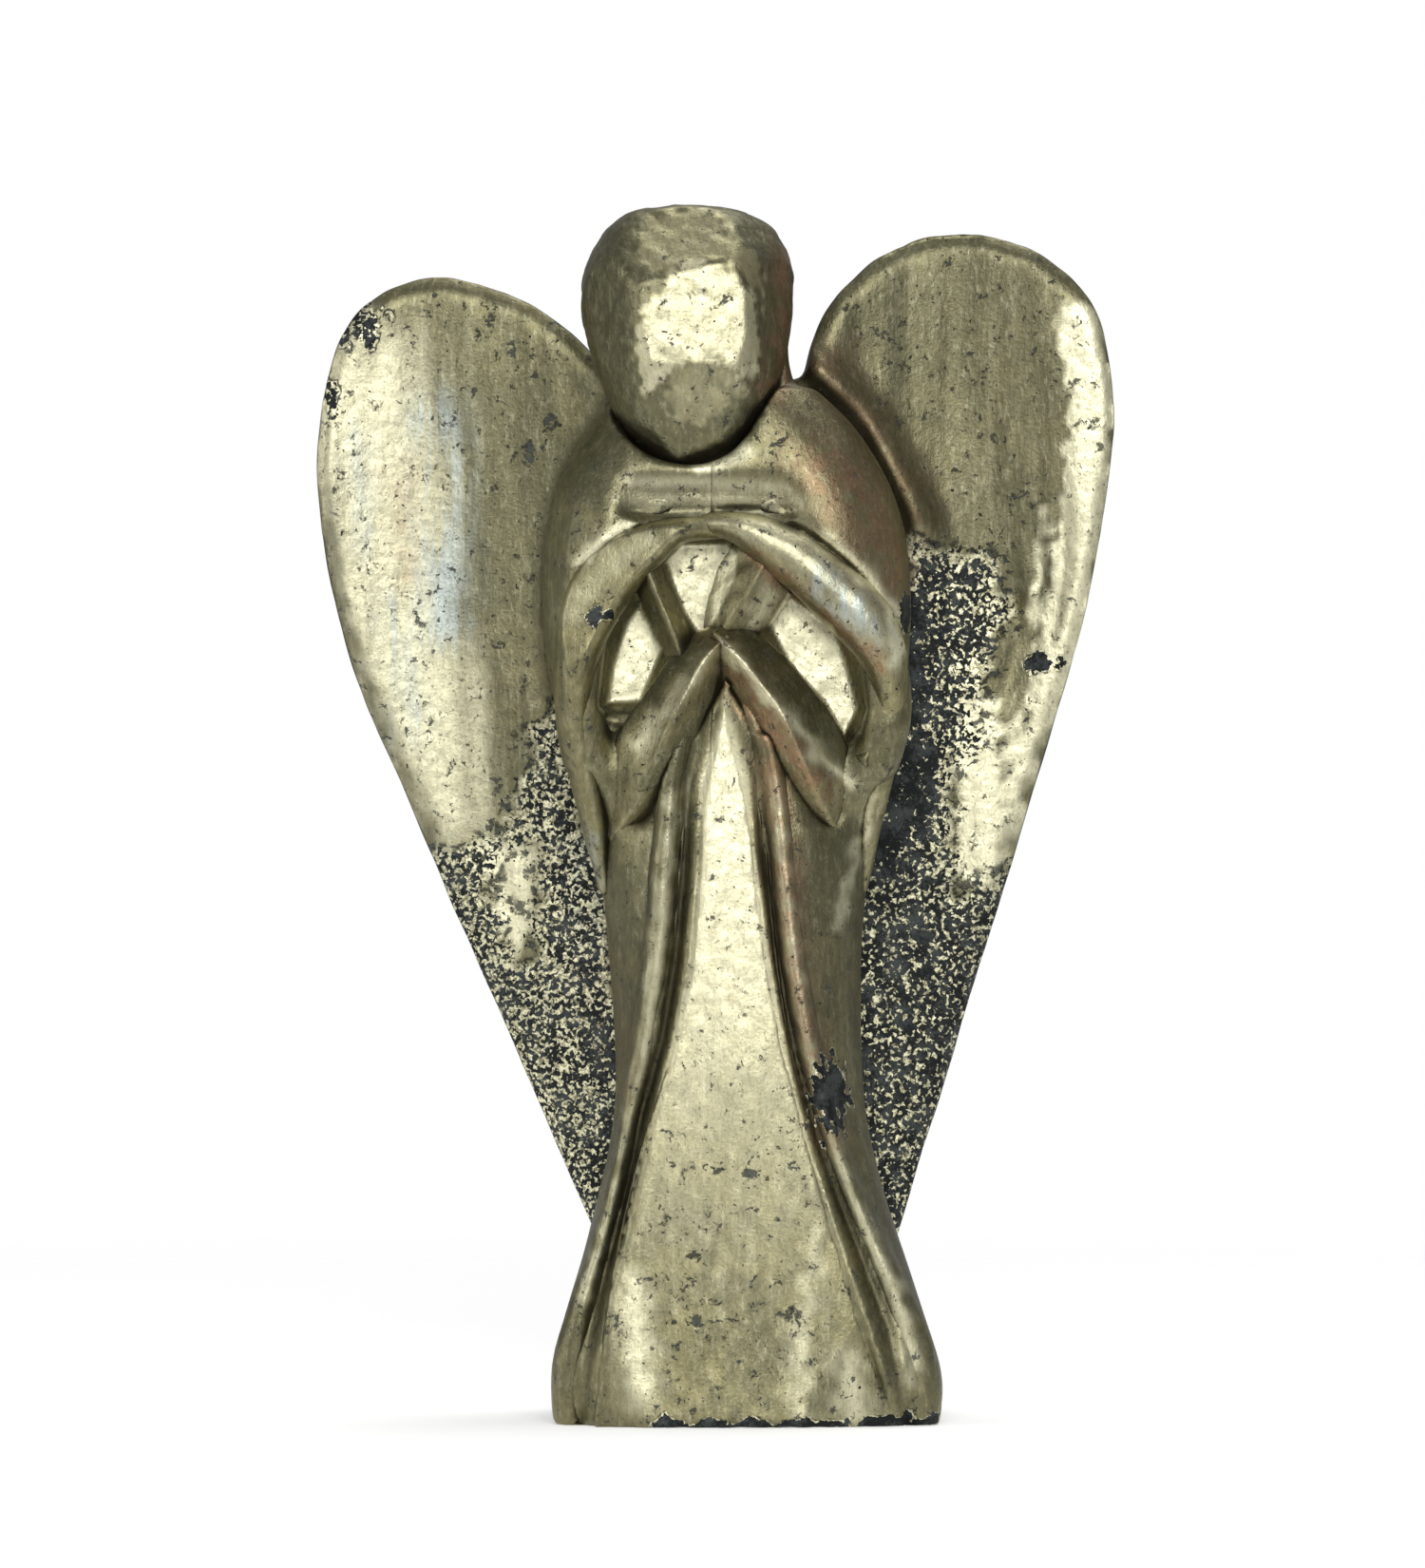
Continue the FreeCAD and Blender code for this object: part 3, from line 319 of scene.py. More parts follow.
class Clay:
    """A closed skin in millimetres that is pushed, ground and smoothed, then set in place as a piece."""

    def __init__(self, model, grain=None, rounds=0):
        """model is a bmesh in millimetres; with a grain it's rebuilt as one even skin."""
        self.mesh = bpy.data.meshes.new("clay")
        model.to_mesh(self.mesh)
        model.free()
        if grain:
            blank = bpy.data.objects.new("clay", self.mesh)
            bpy.context.scene.collection.objects.link(blank)
            skin = blank.modifiers.new("skin", "REMESH")
            skin.mode = "VOXEL"
            skin.voxel_size = grain
            ready = blank.evaluated_get(bpy.context.evaluated_depsgraph_get())
            self.mesh = bpy.data.meshes.new_from_object(ready)
            bpy.data.objects.remove(blank)
        self.at = np.empty(len(self.mesh.vertices) * 3)
        self.mesh.vertices.foreach_get("co", self.at)
        self.at = self.at.reshape(-1, 3)
        self.edges = np.empty(len(self.mesh.edges) * 2, dtype=int)
        self.mesh.edges.foreach_get("vertices", self.edges)
        self.edges = self.edges.reshape(-1, 2)
        self.relax(rounds)

    @property
    def x(self):
        return self.at[:, 0]

    @property
    def y(self):
        return self.at[:, 1]

    @property
    def z(self):
        return self.at[:, 2]

    def keep(self, scale=1.0):
        """Writes the points back to the mesh."""
        self.mesh.vertices.foreach_set("co", (self.at * scale).ravel())
        self.mesh.update()

    def normals(self):
        """Which way each point of the skin faces."""
        self.keep()
        facing = np.empty(len(self.at) * 3)
        self.mesh.vertex_normals.foreach_get("vector", facing)
        return facing.reshape(-1, 3)

    def relax(self, rounds, strength=0.5, where=1.0):
        """Smooths the skin; where is a mask from 0 to 1."""
        first, second = self.edges[:, 0], self.edges[:, 1]
        total = len(self.at)
        joins = np.maximum(np.bincount(first, minlength=total) + np.bincount(second, minlength=total), 1)
        share = strength * np.broadcast_to(where, total)
        for _ in range(rounds):
            for axis in range(3):
                line = self.at[:, axis]
                near = np.bincount(first, line[second], total) + np.bincount(second, line[first], total)
                near /= joins
                self.at[:, axis] = line + (near - line) * share

    def push(self, amount, heading=None):
        """Moves the skin by amount along heading, or outwards."""
        if heading is None:
            heading = self.normals()
        amount = np.broadcast_to(amount, len(self.at))[:, None]
        self.at = self.at + amount * np.asarray(heading, dtype=float)

    def forward(self, amount):
        """Moves the parts that face the front towards the front."""
        facing = ramp(-self.normals()[:, 1], 0.15, 0.6)
        self.push(amount * facing, (0, -1, 0))

    def grind(self, facing, depth, softness):
        """Grinds a flat that faces one way, depth below the skin's furthest point that way."""
        facing = np.array(facing, dtype=float)
        facing /= np.linalg.norm(facing)
        height = self.at @ facing
        over = height - (np.max(height) - depth)
        off = 0.5 * (over + np.sqrt(over * over + softness * softness))
        self.push(-off, facing)

    def wobble(self, amount, size, seed, upright=1.0):
        """Makes the skin as uneven as hand grinding leaves it; upright draws the swells out along Z."""
        self.push(amount * unevenness(self.at * (1.0, 1.0, 1.0 / upright), size, seed))

    def settle(self, name, nodes):
        """Sets the skin in place as a piece that stands for the named nodes."""
        self.at[:, 2] = np.maximum(self.at[:, 2], 0.0)
        self.keep(MM)
        self.mesh.polygons.foreach_set("use_smooth", np.ones(len(self.mesh.polygons), dtype=bool))
        self.mesh.name = f"carved_{name}"
        piece = bpy.data.objects.new(f"carved_{name}", self.mesh)
        bpy.context.scene.collection.objects.link(piece)
        self.mesh.materials.append(bpy.data.materials.get("pyrite") or bpy.data.materials.new("pyrite"))
        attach(piece, "root")
        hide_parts(*nodes)
        return piece


def frame_forms(*nodes, sunk=0.0, into=None):
    """Copies of the frame's nodes as one bmesh in millimetres, their triangles joined, sunk backwards."""
    model = into or bmesh.new()
    for node in nodes:
        form = bmesh.new()
        form.from_mesh(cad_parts[node].data)
        bmesh.ops.scale(form, vec=(1 / MM,) * 3, verts=form.verts)
        bmesh.ops.translate(form, vec=(0, sunk, 0), verts=form.verts)
        bmesh.ops.remove_doubles(form, verts=form.verts, dist=1e-4)
        part = bpy.data.meshes.new("form")
        form.to_mesh(part)
        form.free()
        model.from_mesh(part)
        bpy.data.meshes.remove(part)
    return model


def sink_coves(clay):
    """Sinks the two hollows that part the panel from the lapels."""
    for path in COVES:
        away, along = path_distance(path, clay.x, clay.z)
        depth = (0.55 + 0.35 * ramp(clay.z, 4.0, 14.0)) * (1 - 0.6 * ramp(clay.z, 35.0, 42.0))
        clay.forward(-depth * bell(away, 0.0, 0.50) * ramp(1.0 - along, 0.0, 0.08))


def add_slab(model, outline, margin, front, back):
    """Adds a flat slab to a bmesh: a front outline, grown by a margin, between two depths."""
    middle = np.mean(outline, axis=0)
    verts = []
    for corner in outline:
        out = np.array(corner) - middle
        out *= 1 + margin / np.linalg.norm(out)
        verts.append(model.verts.new((middle[0] + out[0], front, middle[1] + out[1])))
    made = bmesh.ops.extrude_face_region(model, geom=[model.faces.new(verts)])["geom"]
    moved = [v for v in made if isinstance(v, bmesh.types.BMVert)]
    bmesh.ops.translate(model, vec=(0, back - front, 0), verts=moved)
    bmesh.ops.recalc_face_normals(model, faces=list({f for v in verts + moved for f in v.link_faces}))


def cut_away(mesh, *planes):
    """What is left of a mesh behind each plane, as a closed bmesh; a plane is a point and its facing."""
    model = bmesh.new()
    model.from_mesh(mesh)
    for point, facing in planes:
        everything = [*model.verts, *model.edges, *model.faces]
        bmesh.ops.bisect_plane(model, geom=everything, plane_co=point, plane_no=facing, clear_outer=True)
        bmesh.ops.holes_fill(model, edges=[e for e in model.edges if e.is_boundary], sides=0)
    bmesh.ops.triangulate(model, faces=[f for f in model.faces if len(f.verts) > 4])
    return model


def swept_roll(stations, count=40, sides=20):
    """A roll along an easy curve; a station is x, y, z, half width in the front view and half depth."""
    rings = through(stations, count)
    headings = np.gradient(rings[:, :3], axis=0)
    model = bmesh.new()
    verts = bmesh.ops.create_circle(model, segments=sides, radius=1.0)["verts"]
    before = Matrix.Identity(4)
    for number, (ring, heading) in enumerate(zip(rings, headings)):
        run = Vector((heading[0], 0.0, heading[2])).normalized()
        across = Vector((-run.z, 0.0, run.x))
        place = Matrix((
            (across.x * ring[3], 0.0, run.x, ring[0]),
            (0.0, ring[4], 0.0, ring[1]),
            (across.z * ring[3], 0.0, run.z, ring[2]),
            (0.0, 0.0, 0.0, 1.0)))
        if number:
            rim = [e for e in model.edges if e.verts[0] in verts and e.verts[1] in verts]
            made = bmesh.ops.extrude_edge_only(model, edges=rim)["geom"]
            verts = [v for v in made if isinstance(v, bmesh.types.BMVert)]
        bmesh.ops.transform(model, matrix=place @ before.inverted(), verts=verts)
        before = place
        verts = set(verts)
    bmesh.ops.holes_fill(model, edges=[e for e in model.edges if e.is_boundary], sides=0)
    bmesh.ops.recalc_face_normals(model, faces=model.faces)
    return model


# ---------- the pieces

class ANGEL_OT_head(bpy.types.Operator):
    """Carves the bowed, faceless head and grinds its flats"""
    bl_idname = "angel.head"
    bl_label = "Head"

    def execute(self, context):
        low, high = (np.array(corner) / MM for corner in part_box("head"))
        top, chin = high[2], low[2] - 0.3
        # height share from the crown, then the left, right, front and back edges
        profile = np.array((
            (0.000, -2.8, -1.0, -3.8, -1.6), (0.018, -5.4, 1.7, -5.2, 0.2), (0.08, -6.9, 3.5, -6.8, 1.9),
            (0.17, -7.9, 4.4, -7.9, 3.0), (0.26, -8.45, 4.85, -8.6, 3.8), (0.42, -8.5, 4.8, -9.0, 4.2),
            (0.58, -7.8, 4.4, -8.9, 3.9), (0.72, -6.85, 3.6, -8.5, 3.2), (0.85, -5.8, 2.4, -7.7, 2.0),
            (0.94, -4.8, 1.0, -6.8, 0.6), (0.985, -3.9, -0.2, -5.9, -0.6), (1.0, -2.6, -1.6, -4.6, -2.4)))
        model = bmesh.new()
        bmesh.ops.create_icosphere(model, subdivisions=6, radius=1.0)
        clay = Clay(model)
        share = np.arccos(np.clip(clay.z, -1, 1)) / math.pi
        share = 0.5 - 0.5 * np.cos(share * math.pi)
        ring = np.maximum(np.hypot(clay.x, clay.y), 1e-6)
        side, depth = clay.x / ring, clay.y / ring
        left, right, front, back = (np.interp(share, profile[:, 0], profile[:, c]) for c in (1, 2, 3, 4))
        at_pole = np.minimum(ring / 0.05, 1.0)
        clay.at = np.stack((
            (left + right) / 2 + side * (right - left) / 2 * at_pole,
            (front + back) / 2 + depth * (back - front) / 2 * at_pole,
            top + (chin - top) * share), axis=1)
        clay.relax(12)
        clay.wobble(setting("wobble"), 5.0, 11)
        for facing, depth, softness in HEAD_FLATS:
            clay.grind(facing, depth, softness)
        clay.wobble(0.035, 1.3, 12)
        clay.wobble(0.02, 0.6, 13)
        clay.settle("head", ["head"])
        return {"FINISHED"}


class ANGEL_OT_collar(bpy.types.Operator):
    """Carves the neck and the grooved band under it"""
    bl_idname = "angel.collar"
    bl_label = "Neck and neckline"

    def execute(self, context):
        wobble = setting("wobble")
        neck = Clay(frame_forms("neck"), setting("grain"), 8)
        neck.wobble(wobble, 3.0, 21)
        neck.settle("neck", ["neck"])
        band = Clay(frame_forms("neckline_band"), FINE_GRAIN, 40)
        band.wobble(wobble * 0.7, 1.6, 22)
        band.push(0.2, (0, 1, 0))
        band.settle("neckline_band", ["neckline_band"])
        return {"FINISHED"}


class ANGEL_OT_gown(bpy.types.Operator):
    """Carves the gown as one flowing skin, then parts it into its two halves and the back fold"""
    bl_idname = "angel.gown"
    bl_label = "Gown"

    def execute(self, context):
        model = frame_forms("left_mantle", "right_mantle", "robe_back", "neck")
        frame_forms("bodice", sunk=0.4, into=model)
        frame_forms("front_panel", "left_lapel", "right_lapel", "neckline_band", sunk=0.2, into=model)
        frame_forms("left_sleeve", "right_sleeve", sunk=1.7, into=model)
        frame_forms("left_forearm", "right_forearm", sunk=2.3, into=model)
        clay = Clay(model, setting("grain"), 10)
        neckline = ramp(7.2 - np.abs(clay.x + 0.4), 0.0, 1.0)
        neckline *= ramp(3.2 - np.abs(clay.z - 58.2), 0.0, 1.0)
        clay.relax(40, 0.5, neckline * ramp(-clay.y, 3.0, 4.0))
        clay.forward(-0.25 * ramp(5.8 - np.abs(clay.x + 0.4), 0.0, 0.5) * bell(clay.z, 56.9, 0.35))
        elbows = ramp(np.abs(clay.x - 1.0), 3.6, 5.0) * ramp(4.6 - np.abs(clay.z - 39.0), 0.0, 1.5)
        clay.relax(60, 0.5, elbows * ramp(-clay.y, 0.0, 2.0))
        sink_coves(clay)
        clay.relax(2)
        clay.wobble(setting("wobble"), 5.0, 31, 2.0)
        floor = np.array(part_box("bodice")[0])[1] / MM + 0.4
        for hollow in HOLLOWS:
            opened = ramp(inside(hollow, clay.x, clay.z), -0.7, -0.3)
            clay.push(opened * np.clip(floor - clay.y, 0.0, None), (0, 1, 0))
        clay.keep()
        for name, facing in (("left_mantle", 1), ("right_mantle", -1)):
            half = Clay(cut_away(clay.mesh, ((GOWN_MIDDLE, 0, 0), (facing, 0, 0))))
            half.settle(name, [name])
        low, high = (np.array(corner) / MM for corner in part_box("robe_back"))
        fold = Clay(cut_away(
            clay.mesh, ((0, 4.6, 0), (0, -1, 0)), ((low[0] + 0.2, 0, 0), (-1, 0, 0)),
            ((high[0] - 0.2, 0, 0), (1, 0, 0)), ((0, 0, high[2] - 0.5), (0, 0, 1))))
        fold.push(0.03, (0, 1, 0))
        fold.settle("robe_back", ["robe_back"])
        return {"FINISHED"}


class ANGEL_OT_bodice(bpy.types.Operator):
    """Carves the hollows between the arms: flat floors with sloping walls round them"""
    bl_idname = "angel.bodice"
    bl_label = "Hollows"

    def execute(self, context):
        model = frame_forms("bodice")
        floor = np.array(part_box("bodice")[0])[1] / MM
        for hollow in HOLLOWS:
            add_slab(model, hollow, 0.8, floor, floor + 1.2)
        clay = Clay(model, FLOOR_GRAIN, 2)
        deepest = np.max([inside(hollow, clay.x, clay.z) for hollow in HOLLOWS], axis=0)
        ledge = ramp(-clay.x, 3.6, 4.4) * ramp(45.4 - clay.z, 0.0, 0.5)
        clay.forward(np.clip(-deepest * WALL_SLOPE, 0.0, WALL_HEIGHT - LEDGE_DROP * ledge))
        chatter = np.sin((clay.z + 0.25 * clay.x) * 2 * math.pi / 0.75)
        clay.forward(0.12 * chatter * ramp(44.9 - clay.z, -0.4, 0.6) * ramp(-clay.x, 4.2, 5.2))
        clay.relax(3)
        clay.forward(0.035 * unevenness(clay.at, 1.3, 41))
        clay.settle("bodice", ["bodice"])
        return {"FINISHED"}


class ANGEL_OT_sleeves(bpy.types.Operator):
    """Carves the rolls of the two sleeves over the hollows"""
    bl_idname = "angel.sleeves"
    bl_label = "Sleeves"

    def execute(self, context):
        left = (
            (1.0, -5.5, 55.9, 0.70, 1.2), (-2.2, -6.3, 55.7, 0.85, 1.9), (-4.6, -6.3, 54.5, 1.60, 2.1),
            (-6.6, -6.3, 52.9, 1.95, 2.1), (-8.0, -6.2, 50.4, 1.80, 2.1), (-8.7, -6.0, 47.4, 1.30, 2.0),
            (-8.9, -5.3, 44.0, 1.15, 1.9),
            (-8.2, -4.6, 40.6, 1.05, 1.8), (-7.5, -4.1, 37.0, 0.90, 1.6), (-6.9, -3.0, 33.0, 0.40, 0.8))
        right = (
            (-1.8, -5.3, 56.0, 0.60, 1.2), (0.8, -6.4, 56.0, 0.90, 1.9), (3.0, -6.6, 55.1, 1.45, 2.1),
            (5.4, -6.6, 53.5, 1.75, 2.2), (7.6, -6.6, 51.6, 1.90, 2.2), (9.5, -6.4, 49.6, 1.90, 2.2),
            (10.6, -6.0, 47.2, 1.35, 1.9), (10.9, -5.0, 44.0, 1.05, 1.8),
            (10.2, -4.1, 40.6, 0.95, 1.6), (9.5, -3.5, 37.0, 0.80, 1.3), (9.0, -2.2, 33.0, 0.40, 0.7))
        for name, stations, seed in (("left_sleeve", left, 51), ("right_sleeve", right, 52)):
            clay = Clay(swept_roll(stations), ROLL_GRAIN, 5)
            if name == "left_sleeve":
                clay.grind((-0.25, -1.0, 0.15), 0.75, 0.15)
            clay.wobble(setting("wobble") * 0.6, 2.5, seed)
            clay.settle(name, [name])
        return {"FINISHED"}


class ANGEL_OT_arms(bpy.types.Operator):
    """Carves the crossed forearms and the hands as ridged beams"""
    bl_idname = "angel.arms"
    bl_label = "Forearms and hands"

    def execute(self, context):
        beams = {
            "left_forearm": (
                (0.8, -5.8, 49.2, 1.2, 2.0), (-0.8, -6.0, 47.5, 1.9, 2.5), (-2.3, -6.0, 44.7, 2.4, 2.7),
                (-3.7, -5.7, 41.6, 2.9, 2.6), (-5.0, -5.0, 38.8, 2.8, 2.2), (-6.6, -4.0, 36.3, 1.5, 1.3)),
            "right_forearm": (
                (-0.2, -5.8, 49.4, 1.3, 2.0), (1.4, -6.0, 47.7, 2.1, 2.6), (3.7, -6.0, 44.8, 2.6, 2.8),
                (5.3, -5.7, 41.6, 3.0, 2.7), (6.4, -5.0, 38.8, 2.9, 2.2), (7.8, -4.0, 36.3, 1.6, 1.3)),
            "left_hand": (
                (-2.0, -5.4, 47.4, 1.1, 1.4), (-2.7, -5.6, 49.4, 1.15, 1.7), (-3.6, -5.6, 51.5, 1.2, 1.7),
                (-4.5, -5.8, 53.6, 1.2, 1.6)),
            "right_hand": (
                (0.2, -5.3, 48.8, 1.3, 1.6), (1.1, -5.5, 50.3, 2.1, 1.9), (2.2, -5.6, 52.1, 2.5, 2.0),
                (3.3, -5.7, 54.2, 2.5, 1.8)),
        }
        for number, (name, stations) in enumerate(beams.items()):
            clay = Clay(swept_roll(stations, sides=4), BEAM_GRAIN, 4)
            clay.wobble(setting("wobble") * 0.8, 1.8, 61 + number)
            clay.settle(name, [name])
        return {"FINISHED"}


class ANGEL_OT_panel(bpy.types.Operator):
    """Carves the bright panel down the front of the gown"""
    bl_idname = "angel.panel"
    bl_label = "Front panel"

    def execute(self, context):
        clay = Clay(frame_forms("front_panel"), PANEL_GRAIN, 5)
        sink_coves(clay)
        wobble = setting("wobble")
        clay.wobble(wobble, 3.5, 71, 3.0)
        clay.wobble(wobble * 0.4, 1.2, 72, 2.0)
        clay.settle("front_panel", ["front_panel"])
        return {"FINISHED"}


class ANGEL_OT_lapels(bpy.types.Operator):
    """Carves the raised edges beside the panel"""
    bl_idname = "angel.lapels"
    bl_label = "Lapels"

    def execute(self, context):
        left = (
            (-3.3, -6.1, 34.0, 0.95, 1.3), (-2.7, -6.2, 38.0, 0.95, 1.3), (-1.9, -6.1, 42.0, 0.85, 1.2),
            (-1.0, -6.0, 45.4, 0.6, 1.0))
        right = (
            (4.15, -6.3, 34.0, 1.0, 1.35), (3.55, -6.3, 38.0, 1.0, 1.35), (2.8, -6.2, 42.0, 0.85, 1.25),
            (1.8, -6.1, 45.4, 0.6, 1.0))
        for name, stations, seed in (("left_lapel", left, 81), ("right_lapel", right, 82)):
            top = swept_roll(stations)
            clay = Clay(frame_forms(name, into=top), ROLL_GRAIN, 6)
            sink_coves(clay)
            clay.wobble(setting("wobble") * 0.7, 3.0, seed)
            clay.settle(name, [name])
        return {"FINISHED"}


class ANGEL_OT_wings(bpy.types.Operator):
    """Carves the two wings, thinned and rounded towards their rims"""
    bl_idname = "angel.wings"
    bl_label = "Wings"

    def rim_distance(self, clay):
        """Distance in the front view from the wing's rim."""
        facing = clay.normals()
        rim = np.nonzero(np.abs(facing[:, 1]) < 0.35)[0]
        tree = KDTree(len(rim))
        for index in rim:
            tree.insert((clay.x[index], 0.0, clay.z[index]), int(index))
        tree.balance()
        return np.array([tree.find((x, 0.0, z))[2] for x, z in zip(clay.x, clay.z)])

    def execute(self, context):
        wobble, wear = setting("wobble"), setting("rim_wear")
        for name, side, seed in (("left_wing", -1, 91), ("right_wing", 1, 92)):
            clay = Clay(frame_forms(name), setting("wing_grain"), 3)
            away = self.rim_distance(clay)
            outer = ramp(side * clay.x, 4.0, 11.0)
            facing = clay.normals()[:, 1]
            front, back = ramp(-facing, 0.1, 0.5), ramp(facing, 0.1, 0.5)
            worn = np.clip(1 - away / wear, 0, 1) ** 2
            thinned = 1 - ramp(away, 0.0, 8.0)
            clay.push(front * worn * 0.6, (0, 1, 0))
            clay.push(-back * outer * (thinned * setting("rim_taper") + worn * 0.8), (0, 1, 0))
            if side > 0:
                fold, along = path_distance(WING_FOLD, clay.x, clay.z)
                clay.forward(1.1 * bell(fold, 0.0, 1.0) * (1 - ramp(along, 0.75, 1.0)))
                dish = bell(clay.x - 0.15 * (60 - clay.z), 15.5, 4.0)
                clay.forward(-0.5 * dish * ramp(clay.z, 42.0, 52.0))
                for groove in WING_GROOVES:
                    away, along = path_distance(groove, clay.x, clay.z)
                    ends = ramp(np.minimum(along, 1 - along), 0.0, 0.3)
                    clay.forward(-0.35 * bell(away, 0.0, 0.4) * ends)
            clay.relax(6)
            clay.wobble(wobble, 3.2, seed, 5.0)
            clay.wobble(wobble * 0.35, 1.3, seed + 7, 4.0)
            clay.settle(name, [name])
        return {"FINISHED"}


# ---------- stains, painted highlights, painted shade and finish

class ANGEL_OT_patina(bpy.types.Operator):
    """Works out where the stone is stained or black, where highlights and shade are painted on it, and
    how its creases hold shade and dirt, point by point
    """
    bl_idname = "angel.patina"
    bl_label = "Patina"

    def execute(self, context):
        pieces = [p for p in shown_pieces() if p.data.materials and p.data.materials[0].name == "pyrite"]
        skins = []
        for piece in pieces:
            at = np.empty(len(piece.data.vertices) * 3)
            piece.data.vertices.foreach_get("co", at)
            facing = np.empty(len(at))
            piece.data.vertex_normals.foreach_get("vector", facing)
            skins.append((piece, at.reshape(-1, 3) / MM, facing.reshape(-1, 3)))
        tree = self.whole(skins)
        for piece, at, facing in skins:
            # how closed in each point is; painted as shade, with some dirt, in the creases
            crease_shade_and_dirt = self.creases(at, facing, tree)
            black, copper, blue, painted_highlight, painted_shade = self.stains(piece.name, at, facing)
            # painted shade on the wings' rims, where they turn sideways
            rim = 0.7 * ramp(facing[:, 1], -0.62, -0.3) * (1 - ramp(facing[:, 1], 0.1, 0.7))
            rim *= piece.name.endswith("wing")
            # painted shade in the coves beside the panel, fainter near the hem and near the top
            cove_shade = self.strokes([(path, 0.38, 0.72) for path in COVES], at[:, 0], at[:, 2])
            cove_shade *= 0.45 + 0.55 * ramp(at[:, 2], 4.0, 16.0) - 0.55 * ramp(at[:, 2], 34.0, 41.0)
            cove_shade *= ramp(-facing[:, 1], -0.2, 0.3) * (not piece.name.endswith("wing"))
            chips = ramp(0.55 - at[:, 2] + 0.35 * unevenness(at, 1.1, 17), -0.1, 0.15)
            chips = chips * ramp(at[:, 0], -4.5, -3.5) * ramp(-facing[:, 1], 0.2, 0.5)
            black = np.maximum(black, 1.9 * chips)
            self.write(piece.data, "stain", black, copper, blue)
            # the wear layers: shade with some dirt in creases, with the painted shade of rims and coves;
            # then the painted highlight and the painted shade
            crease_shade_and_dirt = np.maximum.reduce((crease_shade_and_dirt, rim, cove_shade))
            self.write(piece.data, "wear", crease_shade_and_dirt, painted_highlight * (1 - cove_shade), painted_shade)
        return {"FINISHED"}

    def whole(self, skins):
        """One search tree over every piece."""
        verts, faces, start = [], [], 0
        for piece, at, _ in skins:
            verts.extend(map(tuple, at))
            faces.extend(tuple(v + start for v in polygon.vertices) for polygon in piece.data.polygons)
            start += len(at)
        return BVHTree.FromPolygons(verts, faces)

    def creases(self, at, facing, tree):
        """How much the stone around each point closes it in, from 0 to 1."""
        dice = np.random.default_rng(5)
        probes = dice.normal(size=(CREASE_PROBES, 3))
        probes /= np.linalg.norm(probes, axis=1)[:, None]
        closed = np.zeros(len(at))
        for probe in probes:
            heading = facing * 1.15 + probe
            heading /= np.linalg.norm(heading, axis=1)[:, None]
            start = at + facing * 0.06
            for index in range(len(at)):
                hit = tree.ray_cast(start[index], heading[index], CREASE_REACH)[3]
                if hit is not None:
                    closed[index] += 1.0 - hit / CREASE_REACH
        return np.clip(closed / CREASE_PROBES * 1.6, 0, 1)

    def strokes(self, brush, x, z):
        """The strongest of some soft strokes at each point."""
        total = np.zeros(len(x))
        for path, width, strength in brush:
            total = np.maximum(total, strength * bell(path_distance(path, x, z)[0], 0.0, width * 1.2))
        return total

    def stains(self, name, at, facing):
        """Black host rock, copper, blue tarnish, painted highlight and painted shade, each from 0 to 1.
        """
        x, _, z = at.T
        wave = unevenness(at, 3.0, 7) * 0.7 + unevenness(at, 1.2, 8) * 0.35
        shaken = 0.35 * unevenness(at, 1.5, 9)
        front = ramp(-facing[:, 1], -0.2, 0.3)
        black = np.zeros(len(at))
        # painted highlight and painted shade from their strokes, then copper and blue tarnish from theirs
        painted_highlight = self.strokes(HIGHLIGHT_STROKES, x + shaken, z) * front
        painted_shade = self.strokes(SHADE_STROKES, x, z) * front
        copper = self.strokes(COPPER_STROKES, x + shaken, z) * front
        blue = self.strokes(BLUE_STROKES, x + shaken, z) * front
        if name.endswith("wing"):
            edge = np.maximum(inside(BLACK_LEFT, x, z), inside(BLACK_RIGHT, x, z))
            edge = np.minimum(edge, -inside(GOLD_TONGUE, x, z))
            black = ramp(edge + wave, -1.6, 1.4) * (1 - 0.15 * ramp(-x, 6.0, 9.0))
            drawn = unevenness(at * (1.0, 1.0, 0.16), 1.9, 14)
            # painted highlight: a bright field on the left wing, kept off its rim below
            wing_highlight = 0.72 * front * ramp(inside(LEFT_HIGHLIGHT, x, z) + 0.9 * drawn, -3.2, 1.8)
            painted_highlight = np.maximum(painted_highlight, wing_highlight)
            painted_highlight = np.maximum(painted_highlight, 0.8 * front * ramp(inside(GOLD_TONGUE, x, z), -0.3, 0.5))
            ragged = 0.92 * ramp(painted_highlight + 0.10 * unevenness(at, 0.9, 19), 0.26, 0.60)
            painted_highlight = np.where(x < 0, painted_highlight, ragged)
            painted_highlight *= 1 - 0.8 * self.strokes([(LEFT_RIM, 0.5, 1.0)], x + shaken, z)
            # painted shade over the whole front of the wings
            painted_shade = np.maximum(painted_shade, 0.95)
            slate = ramp(inside(SLATE, x, z) + 0.5 * wave, -0.6, 0.8)
            black = np.maximum(black, slate * (1.28 + 0.22 * unevenness(at, 2.2, 18)))
        elif name.endswith("head"):
            # painted highlights on the head's three flats, painted shade on the rest of the head
            ragged = 0.45 * unevenness(at, 0.9, 16)
            face, low, brow = (
                front * ramp(inside(flat, x, z) + ragged, -0.15, 0.25) for flat in HEAD_HIGHLIGHTS)
            face = face * (1 - low)
            painted_highlight = np.maximum.reduce((painted_highlight, 0.50 * face, 0.12 * low, 0.16 * brow))
            painted_shade = 1.0 - np.maximum.reduce((face, 0.75 * low, 0.75 * brow))
        else:
            panel = inside(PANEL, x, z)
